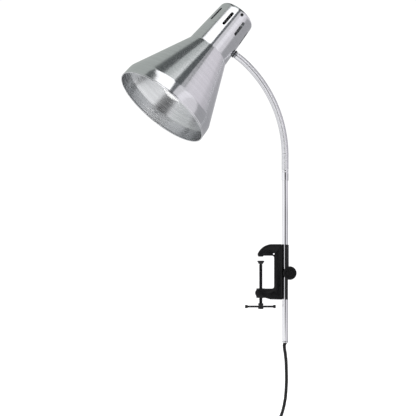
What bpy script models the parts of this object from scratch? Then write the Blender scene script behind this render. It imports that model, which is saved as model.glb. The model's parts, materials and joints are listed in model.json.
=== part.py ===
"""Clip-on reading lamp: a screw clamp holds a rod, a gooseneck and a spun shade.

Metres, +Z up. X runs from the shade side (-X) to the rod side (+X).
The origin is the middle of the clamp's fixed jaw face, on the axis of the clamp screw.
"""

from math import acos, asin, atan2, cos, pi, radians, sin, sqrt

import bmesh
import bpy
import numpy as np
from mathutils import Matrix, Vector

GAP = 0.0003  # between pieces that touch
SLIDE_GAP = 0.0006  # between pieces that slide or turn in each other
EASE = 0.0004  # the small chamfer on turned and cast edges
BEYOND = 0.0100  # how far a cutter runs past what it cuts

# Clamp frame, a rimmed casting with a C shape
CLAMP_DEPTH = 0.015
CLAMP_TOP_Z = 0.0186
CLAMP_FOOT_Z = -0.0642
CLAMP_BACK_X = 0.0320
RIM = 0.0030
WEB = 0.0050
JAW_TIP_X = -0.0047
JAW_FACE_Z = 0.0015
THROAT_X = 0.0201
THROAT_FILLET = 0.0035
ARM_TOP_Z = -0.0482
ARM_UNDER_Z = -0.0614
ARM_END_X = -0.0085
ARM_KNEES_X = (0.0060, 0.0140)
JAW_CROWN = ((0.0150, CLAMP_TOP_Z), (0.0015, 0.0168), (JAW_TIP_X, 0.0042))
POCKET_TIP = 0.0078  # from the jaw's tip to the pocket
POCKET_TIP_DROP = 0.0066
CORNER = 0.0015
HANG_HOLE = (0.0195, 0.0040)
HANG_HOLE_RADIUS = 0.0013
STUD_DIMPLES = ((0.0125, 0.0096), (0.0134, -0.0552))
DIMPLE_RADIUS = 0.0015
DIMPLE_DEPTH = 0.0008

# Fixed jaw pad
JAW_PAD_RADIUS = 0.0040
JAW_PAD_THICK = 0.0012
JAW_PAD_STEM = (0.0015, 0.0040)

# Clamp screw, its swivel pad and its sliding bar
SCREW_RADIUS = 0.0025
SCREW_BOSS_RADIUS = 0.0068
SCREW_BOSS_PROUD = 0.0004
SCREW_TIP_RADIUS = 0.0018
PAD_TOP_Z = -0.0062
PAD_RADIUS = 0.00525
PAD_RIM = 0.0012
PAD_HEIGHT = 0.0048
PAD_NECK_RADIUS = 0.0034
PAD_DISH = 0.0005
PAD_LIP = 0.0010
PAD_CROWN = 0.0014  # pad material left above the screw's tip
HEAD_TOP_Z = -0.0700
HEAD_HEIGHT = 0.0086
HEAD_RADIUS = 0.0040
BAR_Z = -0.0749
BAR_RADIUS = 0.0015
BAR_LENGTH = 0.0462
BAR_SHIFT_X = -0.0006
BAR_CAP_RADIUS = 0.0025
BAR_CAP_LENGTH = 0.0040
BAR_CAP_WALL = 0.0010

# Rod, its keeper and the lock knob
ROD_RADIUS = 0.0042
ROD_X = CLAMP_BACK_X + GAP + ROD_RADIUS
ROD_BORE = 0.0034
ROD_FOOT_Z = -0.1266
ROD_TOP_Z = 0.1214
FLANGE_THICK = 0.0027
FLANGE_X = ROD_X + 0.0038
EAR_RADIUS = 0.0082
KEEPER_WALL = 0.0010
KEEPER_EAR_THICK = 0.0013
STUD_RADIUS = 0.0020
KNOB_X = ROD_X + ROD_RADIUS + GAP + STUD_RADIUS
KNOB_Z = -0.0243
KNOB_RADIUS = 0.01035
KNOB_THICK = 0.0080
KNOB_COLLAR_RADIUS = 0.0055
KNOB_COLLAR_HEIGHT = 0.0014
KNOB_RING = (0.0036, 0.0076)
KNOB_RING_DEPTH = 0.0014
STUD_TIP = 0.0018  # beyond the nut
STUD_GRIP = 0.0070  # inside the knob
NUT_WIDTH = 0.0076
NUT_THICK = 0.0032

# Gooseneck and its lower ferrule
FERRULE_WALL = 0.0005
FERRULE_RADIUS = ROD_RADIUS + GAP + FERRULE_WALL
FERRULE_FOOT_Z = 0.1140
NECK_FOOT_Z = 0.1300
NECK_RADIUS = 0.00525
NECK_BORE = 0.0034
NECK_STRAIGHT = 0.0212
NECK_BEND_RADIUS = 0.1920
NECK_BEND = radians(51.6)
NECK_END_LINK = 0.0120
NECK_JOINTS = 8
CUP_RADIUS = 0.0058
BALL_DEPTH = 0.0018
LEAD_RADIUS = 0.0023
LEAD_END_GAP = 0.0008

# Swivel between the gooseneck and the shade
SWIVEL_STANDOFF = 0.0056  # shade wall to the gooseneck's end
HEAD_TWIST = radians(-16.9)
NIPPLE_RADIUS = 0.0047
NIPPLE_INNER_GAP = 0.0040  # lampholder to the nipple's inner end
NIPPLE_FLANGE = (0.0058, 0.0022)
WASHER_RADIUS = 0.0070
WASHER_THICK = 0.0020
SWIVEL_NUT_WIDTH = 0.0130
SWIVEL_NUT_THICK = 0.0037

# Shade, measured along its axis from the swivel; the mouth looks down -Z
SHADE_WALL = 0.0010
MOUTH_Z = -0.1380
MOUTH_RADIUS = 0.0750
BAND_SWELL = 0.0008  # how far the band bows in below its mouth
BAND_KNEE = 0.0060  # where it does, from the shoulder
SHOULDER_Z = -0.1185
SHOULDER_RADIUS = 0.0735
CREASE_Z = -0.0240
CREASE_RADIUS = 0.0335
BACK_Z = 0.0535
BACK_RADIUS = 0.0283
BACK_CORNER = 0.0060
SLOT_COUNT = 8
SLOT_WIDTH = 0.0048
SLOT_ENDS_Z = (0.0136, 0.0394)
SLOT_ANGLE = radians(-11.0)
WALL_CUT = (CREASE_RADIUS / 2, CREASE_RADIUS + BEYOND)  # reach of a cutter through the back part's wall

# Bracket and lampholder inside the shade
BRACKET_ANGLE = radians(13.4)
BRACKET_WIDTH = 0.0140
BRACKET_THICK = 0.0012
BRACKET_Z = 0.0360
BRACKET_EAR_TOP_Z = 0.0480
BRACKET_SCREW_Z = 0.0450
BRACKET_SCREW_RADIUS = 0.0014
BRACKET_SCREW_HEAD = (0.0024, 0.0016)
BRACKET_SCREW_DEPTH = 0.0040
HOLDER_RADIUS = 0.0200
HOLDER_FOOT_Z = -0.0390
HOLDER_TOP_Z = 0.0140
HOLDER_FLOOR_Z = -0.0050
HOLDER_BORE = 0.0146
SLEEVE_WALL = 0.0006
SLEEVE_ENDS_Z = (-0.0370, -0.0100)
TERMINAL_RADIUS = 0.0130
TERMINAL_THICK = 0.0070
TERMINAL_FLOOR_Z = HOLDER_TOP_Z - TERMINAL_THICK - 0.0020
HOLDER_CAP_HEIGHT = 0.0120
HOLDER_CAP_RIM = 0.0020
HOLDER_CAP_RADIUS = 0.0120
STEM_RADIUS = 0.0049
STEM_BORE = 0.0032
STEM_LIFT = 0.0010  # above the cap's lower edge
STEM_FLANGE = (0.0075, 0.0020)
CONTACT_RADIUS = 0.0030
CONTACT_THICK = 0.0026

# Bulb
BULB_RADIUS = 0.0300
BULB_CENTRE_Z = -0.0860
GLASS_WALL = 0.0010
GLASS_NECK_RADIUS = 0.0122
GLASS_THROAT = 0.0060  # straight neck below the cap
BULB_CAP_RADIUS = 0.0131
BULB_CAP_WALL = 0.0006
BULB_CAP_TAPER = 0.0030
BULB_CAP_ENDS_Z = (-0.0385, -0.0125)
BULB_CONTACT = (0.0045, 0.0018)
GLASS_IN_CAP = 0.0060

# Cord and what is on it; FLOOR_Z is the surface on which the spare cord lies
CORD_RADIUS = 0.0024
FLOOR_Z = -0.2900
END_BUSH = (0.0046, 0.0021)
GRIP_NOSE_RADIUS = 0.0027
GRIP_NOSE_LENGTH = 0.0042
GRIP_TAPER = 0.0002
GRIP_LEAN_X = -0.0013
GRIP_IN_ROD = 0.0180
SWITCH_LENGTH = 0.0600
SWITCH_WIDTH = 0.0260
SWITCH_HEIGHT = 0.0170
SWITCH_X = -0.0750
SWITCH_CORNER = 0.0080
ROCKER_LENGTH = 0.0190
ROCKER_WIDTH = 0.0110
ROCKER_REST = radians(-10.0)
ROCKER_DEPTH = 0.0056
ROCKER_CROWN = 0.0026
ROCKER_END_SHARE = 0.45  # of the crown, above the middle at the ends
ROCKER_FOOT_SHARE = 0.55
ROCKER_SIDE = 0.0020
ROCKER_POCKET_DEPTH = 0.0025
WINDOW_CORNER = 0.0010
ROCKER_PIVOT_Z = FLOOR_Z + 0.0135
COIL_CENTRE = (-0.1500, -0.0358)
COIL_MID_RADIUS = 0.0285
COIL_WIDTH = 0.0194
COIL_HEIGHT = 0.0132
TIE_WIDTH = 0.0060
TIE_THICK = 0.0008
TIE_SLACK = 0.0010
TIE_CORNER = 0.0030
TIE_ANGLE = radians(-20.0)
PLUG_BACK_X = -0.1050
PLUG_Y = -0.0741
PLUG_LENGTH = 0.0360
PLUG_WIDTH = 0.0350
PLUG_HEIGHT = 0.0135
PLUG_TAPER_SHARE = 0.62
PLUG_EDGE = 0.0015
PLUG_NOSE_WIDTH = 0.0150
PIN_RADIUS = 0.0020
PIN_LENGTH = 0.0190
PIN_IN_PLUG = 0.0080
PIN_SPACING = 0.0186

SWITCH_AXIS_Z = FLOOR_Z + SWITCH_HEIGHT / 2
CORD_ON_FLOOR_Z = FLOOR_Z + CORD_RADIUS
PLUG_AXIS_Z = FLOOR_Z + PLUG_HEIGHT / 2

# The route of the cord from the rod to the switch
DROP_ROUTE = (
    (0.0352, 0.0, -0.1342), (0.0356, 0.0, -0.1386), (0.0366, 0.0, -0.1446),
    (0.0372, 0.0, -0.1506), (0.0379, 0.0, -0.1566), (0.0383, 0.0, -0.1686),
    (0.0385, 0.0, -0.1770), (0.0385, 0.0, -0.1866), (0.0380, 0.0, -0.1986),
    (0.0370, 0.0, -0.2106), (0.0361, 0.0, -0.2166), (0.0340, 0.0, -0.2270),
    (0.0310, 0.0, -0.2370), (0.0265, 0.0, -0.2470), (0.0205, 0.0, -0.2565),
    (0.0125, 0.0, -0.2650), (0.0030, 0.0, -0.2720), (-0.0080, 0.0, -0.2770),
    (-0.0200, 0.0, -0.2800), (-0.0320, 0.0, -0.2812), (-0.0447, 0.0, SWITCH_AXIS_Z),
)

# From the switch to the coil, and from the coil to the plug
COIL_ROUTE = (
    (-0.1053, 0.0, SWITCH_AXIS_Z), (-0.1090, 0.0, -0.2816), (-0.1130, 0.0, -0.2821),
    (-0.1170, 0.0, -0.2829), (-0.1210, 0.0, -0.2838), (-0.1250, 0.0, -0.2847), (-0.1290, 0.0, -0.2855),
)
PLUG_ROUTE = (
    (-0.1340, -0.0741, -0.2825), (-0.1290, -0.0741, -0.2828), (-0.1240, -0.0741, -0.2830),
    (-0.1190, -0.0741, -0.2832), (-0.1120, -0.0741, -0.2832), (-0.1053, -0.0741, PLUG_AXIS_Z),
)

COLOURS = {
    "black_cast": ((0.018, 0.018, 0.020), 0.0, 0.45),
    "black_plastic": ((0.015, 0.015, 0.016), 0.0, 0.40),
    "black_rubber": ((0.020, 0.020, 0.020), 0.0, 0.75),
    "chrome": ((0.80, 0.80, 0.81), 1.0, 0.08),
    "steel": ((0.45, 0.45, 0.46), 1.0, 0.35),
    "aluminium": ((0.70, 0.71, 0.72), 1.0, 0.30),
    "brass": ((0.70, 0.55, 0.28), 1.0, 0.30),
    "glass": ((0.92, 0.92, 0.90), 0.0, 0.20),
}


def clear_scene():
    """Remove every object that the file opened with."""
    for old in list(bpy.data.objects):
        bpy.data.objects.remove(old, do_unlink=True)


def material(name):
    """The Principled material called name, made on first use."""
    made = bpy.data.materials.get(name)
    if made is None:
        colour, metallic, roughness = COLOURS[name]
        made = bpy.data.materials.new(name)
        made.use_nodes = True
        shader = made.node_tree.nodes["Principled BSDF"]
        shader.inputs["Base Color"].default_value = (*colour, 1.0)
        shader.inputs["Metallic"].default_value = metallic
        shader.inputs["Roughness"].default_value = roughness
    return made


def place(name, data, colour, parent=None, at=Matrix.Identity(4)):
    """Link an object called name, placed at a matrix inside its parent."""
    thing = bpy.data.objects.new(name, data)
    bpy.context.collection.objects.link(thing)
    thing.parent = parent
    thing.matrix_local = at
    if colour:
        data.materials.append(material(colour))
    return thing


def empty(name, at, parent=None):
    """A guide that carries the pieces placed inside it."""
    return place(name, None, None, parent, at)


def solid(name, bm, colour, parent=None, at=Matrix.Identity(4)):
    """Turn a bmesh into an object with its faces pointing out."""
    bmesh.ops.remove_doubles(bm, verts=bm.verts, dist=1e-7)
    bmesh.ops.recalc_face_normals(bm, faces=bm.faces)
    mesh = bpy.data.meshes.new(name)
    bm.to_mesh(mesh)
    bm.free()
    mesh.shade_smooth()
    mesh.set_sharp_from_angle(angle=radians(30))
    return place(name, mesh, colour, parent, at)


def arc(centre, radius, start, end, steps):
    """Points of an arc in a plane, from one angle to another."""
    return [
        (centre[0] + radius * cos(a), centre[1] + radius * sin(a))
        for a in np.linspace(start, end, steps + 1)
    ]


def bow(start, pull, end, steps):
    """Points of a quadratic curve drawn towards one control point."""
    return [
        tuple((1 - t) ** 2 * s + 2 * t * (1 - t) * p + t * t * e for s, p, e in zip(start, pull, end))
        for t in np.linspace(0, 1, steps + 1)
    ]


def turned(name, profile, colour, parent=None, at=Matrix.Identity(4), sides=32):
    """A solid turned about Z from a closed outline of (radius, height)."""
    bm = bmesh.new()
    ring = [bm.verts.new((r, 0, z)) for r, z in profile]
    edges = [bm.edges.new(pair) for pair in zip(ring, ring[1:])]
    if profile[0][0] > 0 or profile[-1][0] > 0:
        edges.append(bm.edges.new((ring[-1], ring[0])))
    bmesh.ops.spin(
        bm, geom=ring + edges, cent=(0, 0, 0), axis=(0, 0, 1),
        angle=2 * pi, steps=sides, use_merge=True,
    )
    return solid(name, bm, colour, parent, at)


def tube(name, outer, bore, low, high, colour, parent=None, at=Matrix.Identity(4), sides=32):
    """A plain round sleeve."""
    outline = [(bore, low), (outer, low), (outer, high), (bore, high)]
    return turned(name, outline, colour, parent, at, sides)


def bar(name, radius, low, high, colour, parent=None, at=Matrix.Identity(4), sides=24):
    """A plain round bar."""
    outline = [(0, low), (radius, low), (radius, high), (0, high)]
    return turned(name, outline, colour, parent, at, sides)


def slab(name, outline, low, high, colour, parent=None, at=Matrix.Identity(4)):
    """A flat outline in X and Y, thickened along Z."""
    bm = bmesh.new()
    face = bm.faces.new([bm.verts.new((x, y, low)) for x, y in outline])
    grown = bmesh.ops.extrude_face_region(bm, geom=[face])["geom"]
    top = [v for v in grown if isinstance(v, bmesh.types.BMVert)]
    bmesh.ops.translate(bm, verts=top, vec=(0, 0, high - low))
    return solid(name, bm, colour, parent, at)


def block(name, low, high, colour, parent=None, at=Matrix.Identity(4)):
    """A box between two corners."""
    outline = [(low[0], low[1]), (high[0], low[1]), (high[0], high[1]), (low[0], high[1])]
    return slab(name, outline, low[2], high[2], colour, parent, at)


def rounded(length, width, corner, steps=4):
    """A rectangle about the middle with round corners."""
    x, y = length / 2 - corner, width / 2 - corner
    spots = ((x, y, 0), (-x, y, 1), (-x, -y, 2), (x, -y, 3))
    return [
        p for cx, cy, k in spots for p in arc((cx, cy), corner, k * pi / 2, (k + 1) * pi / 2, steps)
    ]


def boolean(target, tool, operation):
    """Cut target with tool, or grow it by tool, and hide the tool."""
    tool.hide_render = True
    tool.display_type = "WIRE"
    change = target.modifiers.new(tool.name, "BOOLEAN")
    change.operation = operation
    change.solver = "EXACT"
    change.object = tool


def cut(target, *tools):
    """Take each tool's shape out of target."""
    for tool in tools:
        boolean(target, tool, "DIFFERENCE")


def add(target, *tools):
    """Weld each tool's shape to target."""
    for tool in tools:
        boolean(target, tool, "UNION")


FACING_FRONT = Matrix.Rotation(pi / 2, 4, "X")  # local Z looks along -Y, local Y is up
ALONG_X = Matrix.Rotation(pi / 2, 4, "Y")  # local Z looks along +X


def front_slab(name, outline, near_y, far_y, colour):
    """An outline in X and Z, thickened along Y."""
    return slab(name, outline, -far_y, -near_y, colour, None, FACING_FRONT)


# ---------------------------------------------------------------- clamp


def frame_outline():
    """The C shape of the clamp frame in X and Z."""
    inner_x = THROAT_X - THROAT_FILLET
    boss = (ARM_TOP_Z - ARM_UNDER_Z) / 2
    boss_centre = (ARM_END_X + boss, (ARM_TOP_Z + ARM_UNDER_Z) / 2)
    corner_x = CLAMP_BACK_X - CORNER
    points = [(JAW_TIP_X, JAW_FACE_Z)]
    points += arc((inner_x, JAW_FACE_Z - THROAT_FILLET), THROAT_FILLET, pi / 2, 0, 5)
    points += arc((inner_x, ARM_TOP_Z + THROAT_FILLET), THROAT_FILLET, 0, -pi / 2, 5)
    points += arc(boss_centre, boss, pi / 2, 3 * pi / 2, 10)
    near_knee, far_knee = ARM_KNEES_X
    points += [(near_knee, ARM_UNDER_Z), (far_knee, CLAMP_FOOT_Z + EASE)]
    points += arc((corner_x, CLAMP_FOOT_Z + CORNER), CORNER, -pi / 2, 0, 3)
    points += arc((corner_x, CLAMP_TOP_Z - CORNER), CORNER, 0, pi / 2, 3)
    points += bow(*JAW_CROWN, 8)
    return points


def pocket_outline():
    """The sunk web of the frame, inside its rim."""
    fillet = THROAT_FILLET + RIM
    inner_x = THROAT_X - THROAT_FILLET
    boss_x = SCREW_BOSS_RADIUS + RIM
    tip_x = JAW_TIP_X + POCKET_TIP
    points = [(tip_x, JAW_FACE_Z + RIM)]
    points += arc((inner_x, JAW_FACE_Z - THROAT_FILLET), fillet, pi / 2, 0, 5)
    points += arc((inner_x, ARM_TOP_Z + THROAT_FILLET), fillet, 0, -pi / 2, 5)
    points += [(boss_x, ARM_TOP_Z - RIM), (boss_x, ARM_UNDER_Z + RIM), (ARM_KNEES_X[1], CLAMP_FOOT_Z + RIM)]
    points += [(CLAMP_BACK_X - RIM, CLAMP_FOOT_Z + RIM), (CLAMP_BACK_X - RIM, CLAMP_TOP_Z - RIM)]
    points += [(JAW_CROWN[0][0], CLAMP_TOP_Z - RIM), (tip_x, CLAMP_TOP_Z - POCKET_TIP_DROP)]
    return points


def clamp_frame():
    """The casting: rimmed C frame, screw boss, rod flange and its holes."""
    half = CLAMP_DEPTH / 2
    frame = front_slab("clamp_frame", frame_outline(), -half, half, "black_cast")
    cut(frame, front_slab("front_pocket", pocket_outline(), -2 * half, -WEB / 2, "black_cast"))
    cut(frame, front_slab("rear_pocket", pocket_outline(), WEB / 2, 2 * half, "black_cast"))
    boss_ends = (ARM_UNDER_Z - SCREW_BOSS_PROUD, ARM_TOP_Z + SCREW_BOSS_PROUD)
    boss = bar("screw_boss", SCREW_BOSS_RADIUS, *boss_ends, "black_cast", sides=28)
    seat_y = ROD_RADIUS + GAP
    ear_reach = acos((FLANGE_X - KNOB_X) / EAR_RADIUS)
    flange_outline = [(CLAMP_BACK_X - RIM / 2, CLAMP_FOOT_Z + EASE), (FLANGE_X, CLAMP_FOOT_Z + EASE)]
    flange_outline += arc((KNOB_X, KNOB_Z), EAR_RADIUS, -ear_reach, ear_reach, 16)
    flange_outline += [(FLANGE_X, CLAMP_TOP_Z - EASE), (CLAMP_BACK_X - RIM / 2, CLAMP_TOP_Z - EASE)]
    flange = front_slab("rod_flange", flange_outline, seat_y, seat_y + FLANGE_THICK, "black_cast")
    add(frame, boss, flange)
    screw_hole = bar(
        "screw_hole", SCREW_RADIUS + GAP, ARM_UNDER_Z - BEYOND, ARM_TOP_Z + BEYOND, "black_cast", sides=20,
    )
    stem_radius, stem_height = JAW_PAD_STEM
    stem_hole = bar(
        "stem_hole", stem_radius + GAP, -BEYOND, JAW_PAD_THICK + stem_height + GAP, "black_cast", sides=16,
    )
    stud_hole = across("stud_hole", (KNOB_X, KNOB_Z), STUD_RADIUS + GAP, 0, CLAMP_DEPTH + BEYOND)
    hang_hole = across("hang_hole", HANG_HOLE, HANG_HOLE_RADIUS, -CLAMP_DEPTH, CLAMP_DEPTH, 12)
    cut(frame, screw_hole, stem_hole, stud_hole, hang_hole)
    for number, spot in enumerate(STUD_DIMPLES, 1):
        cut(frame, across(f"dimple_{number}", spot, DIMPLE_RADIUS, -CLAMP_DEPTH, DIMPLE_DEPTH - WEB / 2, 16))


def across(name, spot, radius, near_y, far_y, sides=24, colour="black_cast"):
    """A round bar along Y at a spot in X and Z."""
    at = Matrix.Translation((spot[0], 0, spot[1])) @ FACING_FRONT
    return bar(name, radius, -far_y, -near_y, colour, None, at, sides)


def jaw_pad():
    """The small pad plugged into the fixed jaw."""
    stem_radius, stem_height = JAW_PAD_STEM
    profile = [
        (0, 0), (JAW_PAD_RADIUS - EASE, 0), (JAW_PAD_RADIUS, EASE),
        (JAW_PAD_RADIUS, JAW_PAD_THICK), (stem_radius, JAW_PAD_THICK),
        (stem_radius, JAW_PAD_THICK + stem_height), (0, JAW_PAD_THICK + stem_height),
    ]
    turned("jaw_pad", profile, "black_rubber", sides=24)


def clamp_screw():
    """Swivel pad, threaded screw with its cross head, and the sliding bar."""
    pad_foot = PAD_TOP_Z - PAD_HEIGHT
    crown = PAD_TOP_Z - PAD_CROWN
    pad = [
        (0, crown), (SCREW_TIP_RADIUS + GAP, crown), (SCREW_TIP_RADIUS + GAP, pad_foot),
        (PAD_NECK_RADIUS, pad_foot), (PAD_RADIUS, PAD_TOP_Z - PAD_RIM), (PAD_RADIUS, PAD_TOP_Z),
        (PAD_RADIUS - PAD_LIP, PAD_TOP_Z), (PAD_RADIUS - PAD_LIP - EASE, PAD_TOP_Z - PAD_DISH),
        (0, PAD_TOP_Z - PAD_DISH),
    ]
    turned("screw_pad", pad, "black_cast", sides=28)
    foot = HEAD_TOP_Z - HEAD_HEIGHT
    bevel = 2 * EASE
    screw = [
        (0, foot), (HEAD_RADIUS - bevel, foot), (HEAD_RADIUS, foot + bevel),
        (HEAD_RADIUS, HEAD_TOP_Z - bevel), (HEAD_RADIUS - bevel, HEAD_TOP_Z),
        (SCREW_RADIUS, HEAD_TOP_Z), (SCREW_RADIUS, pad_foot - GAP),
        (SCREW_TIP_RADIUS, pad_foot - GAP), (SCREW_TIP_RADIUS, crown - GAP), (0, crown - GAP),
    ]
    stem = turned("clamp_screw", screw, "steel", sides=24)
    bar_at = Matrix.Translation((0, 0, BAR_Z)) @ ALONG_X
    cut(stem, bar("bar_hole", BAR_RADIUS + GAP, -BEYOND, BEYOND, "steel", None, bar_at, 20))
    half = BAR_LENGTH / 2
    sliding_at = Matrix.Translation((BAR_SHIFT_X, 0, BAR_Z)) @ ALONG_X
    rod_half = half - BAR_CAP_WALL - GAP
    bar("tommy_bar", BAR_RADIUS, -rod_half, rod_half, "steel", None, sliding_at, 20)
    for name, turn in (("bar_cap_right", 0), ("bar_cap_left", pi)):
        mouth = half - BAR_CAP_LENGTH
        cap = [
            (0, half - BAR_CAP_WALL), (BAR_RADIUS + GAP, half - BAR_CAP_WALL),
            (BAR_RADIUS + GAP, mouth), (BAR_CAP_RADIUS - EASE, mouth),
            (BAR_CAP_RADIUS, mouth + EASE), (BAR_CAP_RADIUS, half - EASE),
            (BAR_CAP_RADIUS - EASE, half), (0, half),
        ]
        turned(name, cap, "black_cast", None, sliding_at @ Matrix.Rotation(turn, 4, "X"), 20)


def rod_keeper():
    """The strap that holds the rod against the flange, with its ear and nut."""
    inner = ROD_RADIUS + GAP
    outer = inner + KEEPER_WALL
    front, lower_end, upper_end = radians(-96), radians(-42), radians(8)
    low, high = CLAMP_FOOT_Z, CLAMP_TOP_Z - EASE
    middle = KNOB_Z
    centre = Matrix.Translation((ROD_X, 0, 0))

    def strap(name, start, end, bottom, top):
        outline = arc((0, 0), outer, start, end, 8) + arc((0, 0), inner, end, start, 8)
        return slab(name, outline, bottom, top, "black_cast", None, centre)

    keeper = strap("rod_keeper", front, lower_end, low, high)
    cheek = strap("keeper_cheek", lower_end - 0.2, upper_end, middle, high - EASE)
    ear_back = -inner - GAP
    ear = across("keeper_ear", (KNOB_X, KNOB_Z), EAR_RADIUS, ear_back - KEEPER_EAR_THICK, ear_back)
    add(keeper, cheek, ear)
    cut(keeper, across("keeper_hole", (KNOB_X, KNOB_Z), STUD_RADIUS + GAP, -CLAMP_DEPTH, ROD_RADIUS))
    nut_front = ROD_RADIUS + GAP + FLANGE_THICK + GAP
    half = NUT_WIDTH / 2
    square = [(KNOB_X + x * half, KNOB_Z + z * half) for x, z in ((1, 1), (-1, 1), (-1, -1), (1, -1))]
    nut = front_slab("keeper_nut", square, nut_front, nut_front + NUT_THICK, "steel")
    cut(nut, across("nut_hole", (KNOB_X, KNOB_Z), STUD_RADIUS + GAP, 0, nut_front + BEYOND, colour="steel"))
    knob_back = ear_back - KEEPER_EAR_THICK - GAP
    lock_knob(knob_back, nut_front + NUT_THICK + STUD_TIP)


def lock_knob(back_y, stud_end_y):
    """The round knob and its threaded stud, which turn together."""
    at = Matrix.Translation((KNOB_X, 0, KNOB_Z)) @ FACING_FRONT
    low = -back_y
    high = low + KNOB_THICK
    grip_floor = low + STUD_GRIP + GAP
    collar, (ring_inner, ring_outer) = KNOB_COLLAR_RADIUS, KNOB_RING
    profile = [
        (0, grip_floor), (STUD_RADIUS + GAP, grip_floor), (STUD_RADIUS + GAP, low),
        (collar, low), (collar, low + KNOB_COLLAR_HEIGHT),
        (KNOB_RADIUS - 2 * EASE, low + KNOB_COLLAR_HEIGHT),
        (KNOB_RADIUS, low + KNOB_COLLAR_HEIGHT + 2 * EASE), (KNOB_RADIUS, high - 4 * EASE),
        (KNOB_RADIUS - 2 * EASE, high - EASE), (ring_outer, high - EASE),
        (ring_outer - EASE, high - KNOB_RING_DEPTH),
        (ring_inner + EASE, high - KNOB_RING_DEPTH), (ring_inner, high), (0, high),
    ]
    turned("lock_knob", profile, "black_plastic", None, at, 28)
    bar("knob_stud", STUD_RADIUS, -stud_end_y, low + STUD_GRIP, "steel", None, at, 20)


# ---------------------------------------------------------------- rod and gooseneck


def rod():
    """The chrome rod, its lower bush and cord grip, and the lead inside it."""
    axis = Matrix.Translation((ROD_X, 0, 0))
    tube("rod_tube", ROD_RADIUS, ROD_BORE, ROD_FOOT_Z, ROD_TOP_Z, "chrome", None, axis, 32)
    bush_radius, bush_height = END_BUSH
    bush_top = ROD_FOOT_Z - GAP
    bush_foot = bush_top - bush_height
    tube("rod_end_bush", bush_radius, NECK_BORE, bush_foot, bush_top, "chrome", None, axis, 24)
    nose_top = bush_foot - GAP
    nose_foot = nose_top - GRIP_NOSE_LENGTH
    grip_top = ROD_FOOT_Z + GRIP_IN_ROD
    body = min(ROD_BORE, NECK_BORE) - SLIDE_GAP
    grip = [
        (0, grip_top), (body - EASE, grip_top), (body, nose_top),
        (GRIP_NOSE_RADIUS, nose_top - GRIP_TAPER), (GRIP_NOSE_RADIUS - GRIP_TAPER, nose_foot),
        (0, nose_foot),
    ]
    nose = turned("cord_grip", grip, "black_rubber", None, axis, 24)
    for corner in nose.data.vertices:
        if corner.co.z < nose_top + GAP:
            corner.co.x += GRIP_LEAN_X * (nose_top + GAP - corner.co.z) / GRIP_NOSE_LENGTH
    bar("lead_in_rod", LEAD_RADIUS, grip_top + GAP, NECK_FOOT_Z - GAP, "black_rubber", None, axis, 12)
    shelf = ROD_TOP_Z + GAP
    ferrule = [
        (ROD_RADIUS + GAP, FERRULE_FOOT_Z), (FERRULE_RADIUS, FERRULE_FOOT_Z),
        (FERRULE_RADIUS, NECK_FOOT_Z - EASE), (FERRULE_RADIUS - EASE, NECK_FOOT_Z),
        (NECK_BORE, NECK_FOOT_Z), (NECK_BORE, shelf), (ROD_RADIUS + GAP, shelf),
    ]
    turned("rod_ferrule", ferrule, "chrome", None, axis, 24)


def neck_point(along):
    """The gooseneck's centre line: a point and its lean from upright."""
    lean = max(0.0, along - NECK_STRAIGHT) / NECK_BEND_RADIUS
    rise = min(along, NECK_STRAIGHT) + NECK_BEND_RADIUS * sin(lean)
    return Vector((ROD_X - NECK_BEND_RADIUS * (1 - cos(lean)), 0, NECK_FOOT_Z + rise)), lean


def neck_joints():
    """The centres about which the links turn, foot first."""
    length = NECK_STRAIGHT + NECK_BEND_RADIUS * NECK_BEND
    stations = np.linspace(NECK_END_LINK, length - NECK_END_LINK, NECK_JOINTS)
    return [neck_point(s)[0] for s in stations]


def swivel_reach():
    """From the axis of the shade to the gooseneck's end."""
    return housing_radius(0) + SWIVEL_STANDOFF


def shade_pivot():
    """Where the swivel axis meets the axis of the shade."""
    last = neck_joints()[-1]
    reach = NECK_END_LINK + swivel_reach()
    return last + reach * Vector((-sin(NECK_BEND), 0, cos(NECK_BEND)))


def gooseneck():
    """Links with ball and cup ends, each with its stretch of lead inside."""
    centres = neck_joints()
    foot = Vector((ROD_X, 0, NECK_FOOT_Z + GAP))
    tip = centres[-1] + (NECK_END_LINK - GAP) * Vector((-sin(NECK_BEND), 0, cos(NECK_BEND)))
    stations = [foot, *centres, tip]
    for number, (start, end) in enumerate(zip(stations, stations[1:]), 1):
        run = end - start
        at = Matrix.Translation(start) @ Matrix.Rotation(atan2(run.x, run.z), 4, "Y")
        length = run.length
        first, last = number == 1, number == len(stations) - 1
        if first:
            bottom = [(NECK_BORE, 0), (NECK_RADIUS, 0)]
        else:
            ball = asin(BALL_DEPTH / NECK_RADIUS)
            bottom = [(NECK_BORE, -BALL_DEPTH), *arc((0, 0), NECK_RADIUS, -ball, 0, 2)]
        if last:
            top = [(NECK_RADIUS, length), (NECK_BORE, length)]
        else:
            rim, floor = acos(NECK_RADIUS / CUP_RADIUS), acos(NECK_BORE / CUP_RADIUS)
            top = arc((0, length), CUP_RADIUS, -rim, -floor, 3)
        turned(f"neck_link_{number}", bottom + top, "chrome", None, at, 20)
        lead_start = 0 if first else LEAD_END_GAP
        into_shade = swivel_reach() - HOLDER_RADIUS - NIPPLE_INNER_GAP - GAP
        lead_end = length + into_shade if last else length - LEAD_END_GAP
        bar(f"neck_lead_{number}", LEAD_RADIUS, lead_start, lead_end, "black_rubber", None, at, 12)


# ---------------------------------------------------------------- shade


def housing_radius(height):
    """The outer radius of the shade's back part at a height on its axis."""
    share = (height - CREASE_Z) / (BACK_Z - CREASE_Z)
    return CREASE_RADIUS + (BACK_RADIUS - CREASE_RADIUS) * share


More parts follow.
